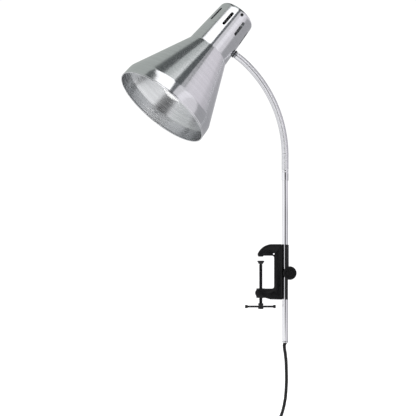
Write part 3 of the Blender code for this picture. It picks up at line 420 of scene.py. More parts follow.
def lay_map(mesh: bpy.types.Mesh, place: Matrix) -> None:
    """Unwrap a turned shell so that U runs along its outline and V runs round its axis, both in metres.

    Args:
        mesh: The shell, in place.
        place: The matrix whose Z axis is the shell's own.
    """
    layer = mesh.uv_layers.get("lay") or mesh.uv_layers.new(name="lay")
    inverse = place.inverted()
    local = [inverse @ v.co for v in mesh.vertices]
    for face in mesh.polygons:
        angles = [np.arctan2(local[v].y, local[v].x) for v in face.vertices]
        spread = max(angles) - min(angles) > pi
        radius = np.mean([sqrt(local[v].x ** 2 + local[v].y ** 2) for v in face.vertices])
        for loop, vertex, angle in zip(face.loop_indices, face.vertices, angles):
            spot = local[vertex]
            along = spot.z if radius > LAY_FACE_RADIUS else sqrt(spot.x**2 + spot.y**2)
            turn = angle + tau if spread and angle < 0 else angle
            layer.data[loop].uv = (along, turn * LAY_TURN)


def mesh_from(name: str, bm: bmesh.types.BMesh) -> bpy.types.Mesh:
    """A mesh made from a bmesh, which is freed."""
    mesh = bpy.data.meshes.new(name)
    bm.to_mesh(mesh)
    bm.free()
    return mesh


def linked(name: str, data: bpy.types.ID) -> bpy.types.Object:
    """A new object of the scene, at the origin."""
    thing = bpy.data.objects.new(name, data)
    bpy.context.scene.collection.objects.link(thing)
    return thing


def add_piece(
    name: str, bm: bmesh.types.BMesh, finish: Finish, body: str, stands_for: tuple[str, ...] = (),
    sharp: float = 32.0,
) -> bpy.types.Object:
    """Make a mesh an object of the lamp.

    Args:
        name: Name of the piece.
        bm: Its mesh, in place; it is freed.
        finish: Its finish.
        body: The CAD body that it rides on.
        stands_for: CAD nodes that it replaces.
        sharp: Angle, in degrees, past which an edge is shaded sharp.

    Returns:
        The new object, at the origin.
    """
    mesh = mesh_from(name, bm)
    mesh.materials.append(finish.material())
    mesh.shade_smooth()
    mesh.set_sharp_from_angle(angle=radians(sharp))
    thing = linked(name, mesh)
    if stands_for:
        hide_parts(*stands_for)
    if body:
        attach(thing, body)
    LOG.info("%s: %d faces on %s", name, len(mesh.polygons), body or "two bodies")
    return thing


def eased_piece(name: str, node: str, width: float, finish: Finish, body: str) -> bpy.types.Object:
    """A piece made from its CAD node, with the sharp edges rounded to a width."""
    return add_piece(name, eased_copy(node, width), finish, body, (node,))


def carve(thing: bpy.types.Object, cutter: bmesh.types.BMesh, sharp: float = 32.0) -> None:
    """Cut a closed shape, or several, out of a piece.

    Args:
        thing: The piece.
        cutter: The shape to remove; it is freed.
        sharp: Angle, in degrees, past which an edge is shaded sharp.
    """
    mesh = mesh_from("cutter", cutter)
    tool = linked("cutter", mesh)
    change = thing.modifiers.new("cut", "BOOLEAN")
    change.operation = "DIFFERENCE"
    change.solver = "EXACT"
    change.object = tool
    graph = bpy.context.evaluated_depsgraph_get()
    result = bpy.data.meshes.new_from_object(
        thing.evaluated_get(graph), preserve_all_data_layers=True, depsgraph=graph
    )
    thing.modifiers.clear()
    old, thing.data = thing.data, result
    result.name = thing.name
    bpy.data.meshes.remove(old)
    bpy.data.objects.remove(tool, do_unlink=True)
    bpy.data.meshes.remove(mesh)
    result.set_sharp_from_angle(angle=radians(sharp))


def bars(spots: list[Matrix], radius: float, length: float, sides: int) -> bmesh.types.BMesh:
    """Round bars, each centred on a matrix and running along its Z.

    Args:
        spots: Where the bars go.
        radius: Their radius.
        length: Their length.
        sides: Their sides.

    Returns:
        All the bars in one mesh.
    """
    bm = bmesh.new()
    for spot in spots:
        bmesh.ops.create_cone(
            bm, cap_ends=True, segments=sides, radius1=radius, radius2=radius, depth=length, matrix=spot
        )
    return bm


def dress(node: str, finish: Finish) -> None:
    """Give a CAD node that stays in view, or inside, its finish."""
    thing = frame["nodes"][node]
    if not thing.material_slots:
        thing.data.materials.append(None)
    for part in thing.material_slots:
        part.material = finish.material()
    LOG.info("%s: kept, dressed as %s", node, finish.name)


def box_of(node: str) -> tuple[Vector, Vector]:
    """The lowest and highest corners of a CAD node's box."""
    low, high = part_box(node)
    return Vector(low), Vector(high)


def along(axis: Vector, at: Vector) -> Matrix:
    """A placement whose Z runs along an axis."""
    return Matrix.Translation(at) @ axis.to_track_quat("Z", "Y").to_matrix().to_4x4()


def joint_at(name: str) -> Vector:
    """A joint's centre at rest."""
    return Vector(JOINTS[name]["pos_m"])


def joint_axis(name: str) -> Vector:
    """A joint's axis at rest."""
    return Vector(JOINTS[name]["axis"]).normalized()


# ---------------------------------------------------------------- clamp


@dataclass
class Clamp:
    """The cast clamp, its jaw pad, rod strap, nut, lock knob, screw and sliding bar."""

    easing: float = 0.0006
    screw_radius: float = 0.0025
    thread_depth: float = 0.00035
    thread_pitch: float = 0.0008
    head_radius: float = 0.0040
    head_height: float = 0.0086
    tip_radius: float = 0.0018
    bar_radius: float = 0.0015
    cap_radius: float = 0.0025
    knob_radius: float = 0.01035
    knob_flutes: int = 40

    def build(self) -> None:
        """Make every piece of the clamp."""
        self._castings()
        self._jaw_pad()
        self._screw_pad()
        self._screw()
        self._bar()
        self._knob()

    def _castings(self) -> None:
        """The frame, the strap and the nut, with their edges eased."""
        eased_piece("clamp_casting", "clamp_frame", self.easing, CAST_PAINT, "clamp")
        eased_piece("rod_strap", "rod_keeper", self.easing / 4, CAST_PAINT, "clamp")
        eased_piece("strap_nut", "keeper_nut", self.easing / 2, ZINC, "clamp")
        dress("knob_stud", ZINC)

    def _jaw_pad(self) -> None:
        """The rubber pad under the fixed jaw."""
        low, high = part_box("jaw_pad")
        radius = (high[0] - low[0]) / 2
        lip = radius * 0.3
        outline = softened([
            (0, 0), (radius, 0, 0.0005), (radius, lip, 0.0002), (radius * 0.38, lip),
            (radius * 0.38, high[2]), (0, high[2]),
        ])
        add_piece("jaw_cushion", spun(outline, 48), JAW_RUBBER, "clamp", ("jaw_pad",))

    def _screw_pad(self) -> None:
        """The dished pad that swivels on the screw's tip."""
        low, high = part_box("screw_pad")
        radius = (high[0] - low[0]) / 2
        foot, top = low[2], high[2]
        neck, tip = radius * 0.64, 0.0021
        outline = softened([
            (0, top - 0.0014), (tip, top - 0.0014), (tip, foot), (neck, foot, 0.0004),
            (neck + 0.0002, foot + 0.0009, 0.0005), (radius, top - 0.0013, 0.0005),
            (radius, top, 0.0003), (radius - 0.0009, top, 0.0002), (radius - 0.0014, top - 0.0005, 0.0003),
            (0, top - 0.0005),
        ])
        add_piece("swivel_pad", spun(outline, 64), BLACK_STEEL, "screw_pad", ("screw_pad",))

    def _screw(self) -> None:
        """The threaded screw with its cross head."""
        low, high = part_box("clamp_screw")
        pad_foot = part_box("screw_pad")[0][2] - GAP
        head_top = low[2] + self.head_height
        root = self.screw_radius - self.thread_depth
        p = self.thread_pitch
        groove = [(root, 0.0), (self.screw_radius, 0.36 * p), (self.screw_radius, 0.58 * p), (root, p)]
        thread = coiled(groove, p, head_top - 0.0002, pad_foot - 0.0004, 20)
        add_piece("screw_thread", thread, BLACK_STEEL, "clamp_screw", ("clamp_screw",))
        tip_foot, t = pad_foot - 0.0006, self.tip_radius
        tip = spun([(0, tip_foot), (t, tip_foot), (t, high[2]), (0, high[2])], 32)
        add_piece("screw_tip", tip, BLACK_STEEL, "clamp_screw")
        r = self.head_radius
        outline = softened([
            (0, low[2]), (r, low[2], 0.0008), (r, low[2] + 0.0022, 0.0003),
            (r - 0.0004, low[2] + 0.0026, 0.0002),
            (r - 0.0004, head_top - 0.0026, 0.0002), (r, head_top - 0.0022, 0.0003), (r, head_top, 0.0008),
            (self.screw_radius, head_top), (0, head_top),
        ])
        head = add_piece("cross_head", spun(outline, 56), BLACK_STEEL, "clamp_screw")
        middle = Vector((0, 0, sum(c[2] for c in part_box("tommy_bar")) / 2))
        carve(head, bars([along(ALONG_X, middle)], self.bar_radius + GAP, 0.02, 32))

    def _bar(self) -> None:
        """The sliding bar and its end caps."""
        low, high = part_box("tommy_bar")
        middle = (Vector(low) + Vector(high)) / 2
        place = along(ALONG_X, middle)
        half = (high[0] - low[0]) / 2
        r = self.bar_radius
        outline = softened([(0, -half), (r, -half, 0.0003), (r, half, 0.0003), (0, half)])
        add_piece("sliding_bar", spun(outline, 40, place), BLACK_STEEL, "tommy_bar", ("tommy_bar",))
        for side, node in ((1, "bar_cap_right"), (-1, "bar_cap_left")):
            cap_low, cap_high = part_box(node)
            inner, outer = sorted((abs(cap_low[0] - middle.x), abs(cap_high[0] - middle.x)))
            shape = softened([
                (0, outer - 0.001), (r + GAP, outer - 0.001), (r + GAP, inner),
                (self.cap_radius - 0.0003, inner, 0.0003), (self.cap_radius, inner + 0.0012, 0.0006),
                (self.cap_radius, outer, 0.0009), (0, outer),
            ])
            flip = Matrix.Identity(4) if side > 0 else Matrix.Rotation(pi, 4, "X")
            add_piece(f"{node}_knob", spun(shape, 40, place @ flip), BLACK_STEEL, "tommy_bar", (node,))

    def _knob(self) -> None:
        """The round lock knob with ringed face and fluted rim."""
        low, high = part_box("lock_knob")
        centre = joint_at("lock_knob_turn")
        place = Matrix.Translation((centre.x, high[1], centre.z)) @ Matrix.Rotation(pi / 2, 4, "X")
        thick = high[1] - low[1]
        r = self.knob_radius
        outline = softened([
            (0, 0.0073), (0.0023, 0.0073), (0.0023, 0), (0.0056, 0, 0.0003), (0.0058, 0.0013, 0.0003),
            (r - 0.0008, 0.0014, 0.0004), (r, 0.0022, 0.0006), (r, thick - 0.0018, 0.0008),
            (r - 0.0011, thick - 0.0004, 0.0006), (0.0081, thick - 0.0004, 0.0003),
            (0.0077, thick - 0.0015, 0.0003), (0.0062, thick - 0.0015, 0.0002),
            (0.0060, thick - 0.0010, 0.0002), (0.0052, thick - 0.0010, 0.0002),
            (0.0050, thick - 0.0015, 0.0002), (0.0041, thick - 0.0015, 0.0003),
            (0.0037, thick, 0.0006), (0.0008, thick - 0.0001, 0.0004), (0, thick - 0.0003),
        ])
        bm = spun(outline, self.knob_flutes * 5)
        for vertex in bm.verts:
            across = sqrt(vertex.co.x**2 + vertex.co.y**2)
            if across > r - 0.0006:
                wave = cos(self.knob_flutes * np.arctan2(vertex.co.y, vertex.co.x))
                vertex.co.xy *= 1 - 0.00022 * (1 + wave) / across
        bm.transform(place)
        add_piece("round_knob", bm, KNOB_PLASTIC, "lock_knob", ("lock_knob",))


# ---------------------------------------------------------------- rod and gooseneck


@dataclass
class RodAndNeck:
    """The chrome rod, its end pieces, and the wound gooseneck above it."""

    wire_pitch: float = 0.0018
    wire_depth: float = 0.00042
    sides: int = 32
    straight: float = 0.0212
    bend_radius: float = 0.1920
    bend: float = radians(51.6)
    end_run: float = 0.0120
    blend_reach: float = 0.0105
    grip_rings: int = 3

    def build(self) -> None:
        """Make the rod, the ferrule, the lower end and the gooseneck."""
        self.axis_x = joint_at("rod_turn").x
        self.foot_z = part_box("rod_ferrule")[1][2]
        self._rod()
        self._ferrule()
        self._lower_end()
        self._gooseneck()

    def _upright(self) -> Matrix:
        """The placement on the rod's axis."""
        return Matrix.Translation((self.axis_x, 0, 0))

    def _rod(self) -> None:
        """The chrome tube, with rolled ends."""
        low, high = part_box("rod_tube")
        r = (high[0] - low[0]) / 2
        bore = r - 0.0008
        foot, top = low[2], high[2]
        outline = softened([
            (bore, foot, 0.0003), (r, foot, 0.0004), (r, top, 0.0003), (bore, top, 0.0002),
            (bore, foot, 0.0003),
        ])
        bm = spun(outline[:-1], 96, self._upright(), closed=True)
        add_piece("chrome_rod", bm, BRIGHT_CHROME, "rod", ("rod_tube",))
        dress("lead_in_rod", LEAD_PLASTIC)

    def _ferrule(self) -> None:
        """The stepped ferrule between rod and gooseneck."""
        low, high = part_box("rod_ferrule")
        r = (high[0] - low[0]) / 2
        foot, top = low[2], high[2]
        bore, neck = r - 0.0005, 0.0034
        outline = softened([
            (bore, foot), (r, foot, 0.0003), (r, top - 0.0032, 0.0002), (r - 0.0003, top - 0.0029, 0.0002),
            (r - 0.0003, top - 0.0025, 0.0002), (r, top - 0.0022, 0.0002), (r, top, 0.0005),
            (neck, top), (neck, foot + 0.0078), (bore, foot + 0.0078),
        ])
        bm = spun(outline, 96, self._upright(), closed=True)
        add_piece("ferrule", bm, BRIGHT_CHROME, "rod", ("rod_ferrule",))

    def _lower_end(self) -> None:
        """The bright bush and the black cord grip at the rod's foot."""
        low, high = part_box("rod_end_bush")
        r = (high[0] - low[0]) / 2
        outline = softened([
            (0.0034, low[2]), (r, low[2], 0.0005), (r, high[2], 0.0004), (0.0034, high[2]),
        ])
        bush = spun(outline, 72, self._upright(), closed=True)
        add_piece("end_bush", bush, BRIGHT_CHROME, "rod", ("rod_end_bush",))
        grip_low, grip_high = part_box("cord_grip")
        nose = low[2] - GAP
        body, tail = 0.0028, 0.0027
        shape = [(0, grip_high[2]), (body - 0.0006, grip_high[2], 0.0004), (body, nose)]
        shape += [(0.0031, nose - 0.0002, 0.0002), (0.0031, nose - 0.0010, 0.0002)]
        for ring in range(self.grip_rings):
            height = nose - 0.0012 - ring * 0.0010
            shape += [(tail - 0.0002, height, 0.0001), (tail, height - 0.0004, 0.0001)]
        shape += [(tail - 0.0001, grip_low[2], 0.0003), (0, grip_low[2])]
        bm = spun(softened(shape, 2), 48, self._upright())
        lean = Cord.drop[0][0] - self.axis_x
        for vertex in bm.verts:
            if vertex.co.z < nose:
                vertex.co.x += lean * min(1.0, (nose - vertex.co.z) / (nose - grip_low[2]))
        add_piece("grip_boot", bm, JAW_RUBBER, "rod_foot", ("cord_grip",))

    def centre(self, station: float) -> tuple[Vector, float]:
        """The gooseneck's centre line.

        Args:
            station: Distance along the line from the ferrule.

        Returns:
            The point there and the line's lean from upright.
        """
        last = self.straight + self.bend_radius * self.bend - self.end_run
        bent = min(station, last)
        lean = max(0.0, bent - self.straight) / self.bend_radius
        point = Vector((
            self.axis_x - self.bend_radius * (1 - cos(lean)), 0,
            self.foot_z + min(bent, self.straight) + self.bend_radius * sin(lean),
        ))
        ahead = Vector((-sin(self.bend), 0, cos(self.bend)))
        return point + ahead * max(0.0, station - last), lean

    def _wound(self, start: float, end: float) -> bmesh.types.BMesh:
        """A stretch of wound tube, laid along the centre line."""
        p, r = self.wire_pitch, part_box("neck_link_1")[1][0] - self.axis_x
        ridge = [
            (r - self.wire_depth * (1 - sqrt(max(0.0, 1 - (2 * t - 1) ** 2))), t * p)
            for t in np.linspace(0.0, 1.0, 7)
        ]
        turns_before = round(start / p)
        bm = coiled(ridge, p, start, end, self.sides)
        phase = Matrix.Rotation(-tau * (start / p - turns_before), 4, "Z")
        bm.transform(phase)
        for vertex in bm.verts:
            point, lean = self.centre(vertex.co.z)
            x, y = vertex.co.x, vertex.co.y
            vertex.co = point + Vector((x * cos(lean), y, x * sin(lean)))
        return bm

    def _gooseneck(self) -> None:
        """One wound stretch across each joint."""
        names = [name for name in JOINTS if name.startswith(("gooseneck", "neck_"))]
        joints = sorted((JOINTS[name] for name in names), key=lambda joint: joint["pos_m"][2])
        total = self.straight + self.bend_radius * self.bend
        stations = np.linspace(self.end_run, total - self.end_run, len(joints)).tolist()
        middles = [(a + b) / 2 for a, b in zip(stations, stations[1:])]
        bounds = [GAP, *middles, total - GAP]
        for number, joint in enumerate(joints):
            start, end = bounds[number], bounds[number + 1]
            bm = self._wound(start, end)
            first = number == 0
            nodes = ("neck_link_1", "neck_link_2") if first else (f"neck_link_{number + 2}",)
            piece = add_piece(f"wound_neck_{number + 1}", bm, BRIGHT_CHROME, "", nodes, sharp=60)
            low, _ = self.centre(max(start, stations[number] - self.blend_reach))
            high, _ = self.centre(min(end, stations[number] + self.blend_reach))
            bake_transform(piece)
        for number in range(1, len(joints) + 2):
            dress(f"neck_lead_{number}", LEAD_PLASTIC)


# ---------------------------------------------------------------- shade


@dataclass
class Shade:
    """The spun shade with its swivel, bracket, lampholder and bulb."""

    wall: float = 0.0010
    mouth: tuple[float, float] = (0.0750, -0.1380)
    knee: tuple[float, float] = (0.0742, -0.1245)
    shoulder: tuple[float, float] = (0.0735, -0.1185)
    crease: tuple[float, float] = (0.0335, -0.0240)
    back: tuple[float, float] = (0.0283, 0.0535)
    back_corner: float = 0.0068
    slot_count: int = 8
    slot_width: float = 0.0048
    slot_ends: tuple[float, float] = (0.0136, 0.0394)
    slot_angle: float = radians(-11.0)
    sides: int = 192
    housing_middle: float = 0.030
    nipple_hole: float = 0.0053
    nipple_reach: float = 0.0375
    nipple_length: float = 0.0135
    washer_seat: float = 0.0327
    screw_hole: float = 0.0017
    screw_seat: float = 0.0288
    cut_length: float = 0.012

    def build(self) -> None:
        """Make every piece that the gooseneck's end carries."""
        self.pivot = joint_at("shade_swivel")
        self.side = joint_axis("shade_swivel")
        back = -joint_axis("bulb_release")
        across = back.cross(self.side)
        turn = Matrix((self.side, across, back)).transposed().to_4x4()
        self.place = Matrix.Translation(self.pivot) @ turn
        self._shell()
        self._swivel()
        self._bracket()
        self._holder()
        self._bulb()

    def _shell_outline(self) -> list[tuple[float, float]]:
        """The shell's section, from the inside of its back to the outside."""
        w = self.wall
        mouth_r, mouth_z = self.mouth
        knee_r, knee_z = self.knee
        shoulder_r, shoulder_z = self.shoulder
        crease_r, crease_z = self.crease
        back_r, back_z = self.back
        inner = [(0, back_z - w), (0.012, back_z - w), (back_r - w, back_z - w, self.back_corner - w)]
        inner += [(crease_r - 1.1 * w, crease_z - 0.2 * w, 0.0016)]
        inner += [(shoulder_r - 1.4 * w, shoulder_z - 0.9 * w, 0.0005)]
        inner += [(knee_r - 1.1 * w, knee_z - w, 0.0030), (mouth_r - 1.2 * w, mouth_z + 0.0026, 0.0003)]
        inner += [(mouth_r - 1.6 * w, mouth_z + 0.0018, 0.0004), (mouth_r - 1.6 * w, mouth_z, 0.0004)]
        outer = [(mouth_r - 0.0001, mouth_z, 0.0005), (mouth_r - 0.0001, mouth_z + 0.0016, 0.0004)]
        outer += [(mouth_r - 0.0007, mouth_z + 0.0020, 0.0002), (mouth_r - 0.0004, mouth_z + 0.0026, 0.0003)]
        outer += [(knee_r, knee_z, 0.0040), (shoulder_r, shoulder_z, 0.0016), (crease_r, crease_z, 0.0014)]
        outer += [(back_r, back_z, self.back_corner), (0.012, back_z), (0, back_z)]
        return softened(inner + outer, 6)

    def _shell(self) -> None:
        """The shell with its slots and holes, brushed outside and satin inside."""
        bm = spun(self._shell_outline(), self.sides, self.place)
        shell = add_piece("spun_shell", bm, SPUN_ALUMINIUM, "shade", ("shade_shell",), sharp=24)
        carve(shell, self._slots(), sharp=24)
        out_to_wall = Matrix.Translation((self.housing_middle, 0, 0))
        spots = [self.place @ out_to_wall @ Matrix.Rotation(pi / 2, 4, "Y")]
        carve(shell, bars(spots, self.nipple_hole, self.cut_length, 48), sharp=24)
        for number in (1, 2):
            low, high = box_of(f"bracket_screw_{number}")
            centre = (low + high) / 2
            spots = [along(self._screw_axis(centre), centre)]
            carve(shell, bars(spots, self.screw_hole, self.cut_length, 24), sharp=24)
        shell.data.materials.append(SATIN_ALUMINIUM.material())
        inverse = self.place.inverted()
        turn = inverse.to_3x3()
        for face in shell.data.polygons:
            spot, normal = inverse @ face.center, turn @ face.normal
            inward = normal.x * spot.x + normal.y * spot.y < -0.05 * sqrt(spot.x**2 + spot.y**2)
            capped = normal.z < -0.7 and spot.z > self.back[1] - 0.010
            face.material_index = 1 if inward or capped else 0
        lay_map(shell.data, self.place)

    def _slots(self) -> bmesh.types.BMesh:
        """Cutters for the vent slots, as bars with round ends."""
        cutters = bmesh.new()
        low, high = self.slot_ends
        half = self.slot_width / 2
        for number in range(self.slot_count):
            angle = self.slot_angle + number * tau / self.slot_count - pi / 2
            bar = bmesh.new()
            bmesh.ops.create_cone(bar, cap_ends=True, segments=24, radius1=half, radius2=half, depth=0.03)
            tall = high - low - 2 * half
            for vertex in bar.verts:
                vertex.co.x += tall / 2 if vertex.co.x > 0 else -tall / 2
            out_to_wall = Matrix.Translation((self.housing_middle, 0, (low + high) / 2))
            lie = Matrix.Rotation(angle, 4, "Z") @ out_to_wall
            bar.transform(self.place @ lie @ Matrix.Rotation(pi / 2, 4, "Y"))
            mesh = mesh_from("slot", bar)
            cutters.from_mesh(mesh)
            bpy.data.meshes.remove(mesh)
        return cutters

    def _screw_axis(self, centre: Vector) -> Vector:
        """Straight out from the shade's axis through a point."""
        local = self.place.inverted() @ centre
        return (self.place.to_3x3() @ Vector((local.x, local.y, 0))).normalized()

    def _swivel(self) -> None:
        """The flanged nipple, its washer and the hidden nut."""
        place = along(self.side, self.pivot)
        reach = self.nipple_reach
        foot = reach - self.nipple_length
        outline = softened([
            (0.0034, foot), (0.0047, foot), (0.0047, reach - 0.0014), (0.0054, reach - 0.0014, 0.0003),
            (0.0054, reach - GAP, 0.0004), (0.0034, reach - GAP),
        ])
        add_piece("nipple", spun(outline, 64, place, closed=True), ZINC, "neck_9", ("swivel_nipple",))
        low = self.washer_seat
        washer = softened([
            (0.0050, low), (0.0062, low, 0.0004), (0.0062, low + 0.0020, 0.0006), (0.0050, low + 0.0020),
        ])
        ring = spun(washer, 64, place, closed=True)
        add_piece("friction_washer", ring, KNOB_PLASTIC, "neck_9", ("swivel_washer",))
        eased_piece("nipple_nut", "swivel_nut", 0.0004, ZINC, "neck_9")

    def _bracket(self) -> None:
        """The strap across the housing and its two screws."""
        eased_piece("holder_strap", "holder_bracket", 0.0003, ZINC, "shade")
        for number in (1, 2):
            node = f"bracket_screw_{number}"
            low, high = box_of(node)
            centre = (low + high) / 2
            axis = self._screw_axis(centre)
            seat = self.screw_seat + GAP
            origin = self.pivot + self.place.to_3x3() @ Vector((0, 0, (self.place.inverted() @ centre).z))
            place = along(axis, origin)
            outline = softened([
                (0, seat - 0.0085), (0.0012, seat - 0.0085), (0.0014, seat - 0.0080), (0.0014, seat),
                (0.0024, seat, 0.0002), (0.0024, seat + 0.0006, 0.0006), (0.0013, seat + 0.0016, 0.0008),
                (0, seat + 0.0016),
            ])
            shape = spun(outline, 40, place)
            screw = add_piece(f"strap_screw_{number}", shape, BLACK_STEEL, "shade", (node,))
            for turn in (0, pi / 2):
                slit = bmesh.new()
                arm = place @ Matrix.Translation((0, 0, seat + 0.0014)) @ Matrix.Rotation(turn, 4, "Z")
                size = Matrix.Diagonal((0.0026, 0.0005, 0.0010, 1))
                bmesh.ops.create_cube(slit, size=1.0, matrix=arm @ size)
                carve(screw, slit)

    def _holder(self) -> None:
        """The ribbed lampholder, its cap and the hidden metal parts."""
        r, foot, top = 0.0200, -0.0390, 0.0140
        bore, floor = 0.0146, -0.0050
        outline = [(0, floor), (bore, floor), (bore, foot + 0.0012), (bore + 0.0012, foot, 0.0004)]
        outline += [(r - 0.0004, foot, 0.0008), (r, foot + 0.0040, 0.0008), (r, foot + 0.0100, 0.0003)]
        for groove in range(3):
            height = foot + 0.0110 + groove * 0.0045
            outline += [
                (r - 0.0008, height, 0.0003), (r - 0.0008, height + 0.0015, 0.0003),
                (r, height + 0.0020, 0.0003), (r, height + 0.0035, 0.0003),
            ]
        outline += [(r, top, 0.0006), (0.0133, top), (0.0133, top - 0.0090), (0, top - 0.0090)]
        shape = spun(softened(outline), 96, self.place)
        add_piece("lampholder", shape, KNOB_PLASTIC, "shade", ("holder_body",))
        foot, stem = top + GAP, 0.0052
        high = foot + 0.0120
        cap = [(stem, foot), (r, foot, 0.0004), (r, foot + 0.0028, 0.0008), (r - 0.0008, foot + 0.0036)]
        cap += bow((r - 0.0010, foot + 0.0045), (r - 0.0016, high - 0.0006), (0.0120, high), 8)
        cap += [(stem, high)]
        shape = spun(softened(cap), 96, self.place, closed=True)
        add_piece("lampholder_cap", shape, KNOB_PLASTIC, "shade", ("holder_cap",))
        self._threaded_sleeve()
        for node, finish in (
            ("centre_contact", PLAIN_BRASS), ("terminal_block", KNOB_PLASTIC), ("holder_stem", ZINC),
        ):
            dress(node, finish)

    def _threaded_sleeve(self) -> None:
        """The brass sleeve pressed with a round thread."""
        low, high, r, t = -0.0370, -0.0100, 0.0143, 0.0005
        wave = [
            (r - 0.0002 - 0.0002 * cos(tau * s * 7.5), low + s * (high - low))
            for s in np.linspace(0, 1, 60)
        ]
        inner = [(x - t, z) for x, z in reversed(wave)]
        shape = spun(wave + inner, 64, self.place, closed=True)
        add_piece("threaded_sleeve", shape, PLAIN_BRASS, "shade", ("holder_sleeve",))

    def _bulb(self) -> None:
        """The opal bulb and its threaded metal cap."""
        r, centre, neck, wall = 0.0300, -0.0860, 0.0122, 0.0009
        low, high = -0.0385, -0.0125

        def side(radius: float, throat: float) -> list[tuple[float, float]]:
            """One side of the glass, from its tip to its neck."""
            leave = radians(38)
            crown = [(radius * cos(a), centre + radius * sin(a)) for a in np.linspace(-pi / 2, leave, 40)]
            start = Vector(crown[-1])
            pull = start + Vector((-sin(leave), cos(leave))) * (start.x - throat) / sin(leave) * 0.85
            return crown + bow(tuple(start), tuple(pull), (throat, low - 0.006), 16)[1:]

        outer, inner = side(r, neck), side(r - wall, neck - wall)
        outer[0], inner[0] = (0.0, outer[0][1]), (0.0, inner[0][1])
        glass = [*outer, (neck, low + 0.006), (neck - wall, low + 0.006), *reversed(inner)]
        add_piece("opal_bulb", spun(glass, 96, self.place), OPAL_GLASS, "bulb", ("bulb_glass",))
        cap_r, t = 0.0131, 0.0005
        run = high - 0.004 - low
        wave = [
            (cap_r - 0.00028 * (1 - cos(tau * s * run / 0.0036)), low + s * run)
            for s in np.linspace(0, 1, 50)
        ]
        thread = [(x - t, z) for x, z in reversed(wave)]
        outline = [(0, high - t), (cap_r - 0.0036, high - t), *thread, *wave]
        outline += [(cap_r - 0.0030, high), (0.0050, high), (0.0042, high + 0.0016), (0, high + 0.0018)]
        add_piece("bulb_shell_cap", spun(outline, 72, self.place), ZINC, "bulb", ("bulb_cap",))


# ---------------------------------------------------------------- cord


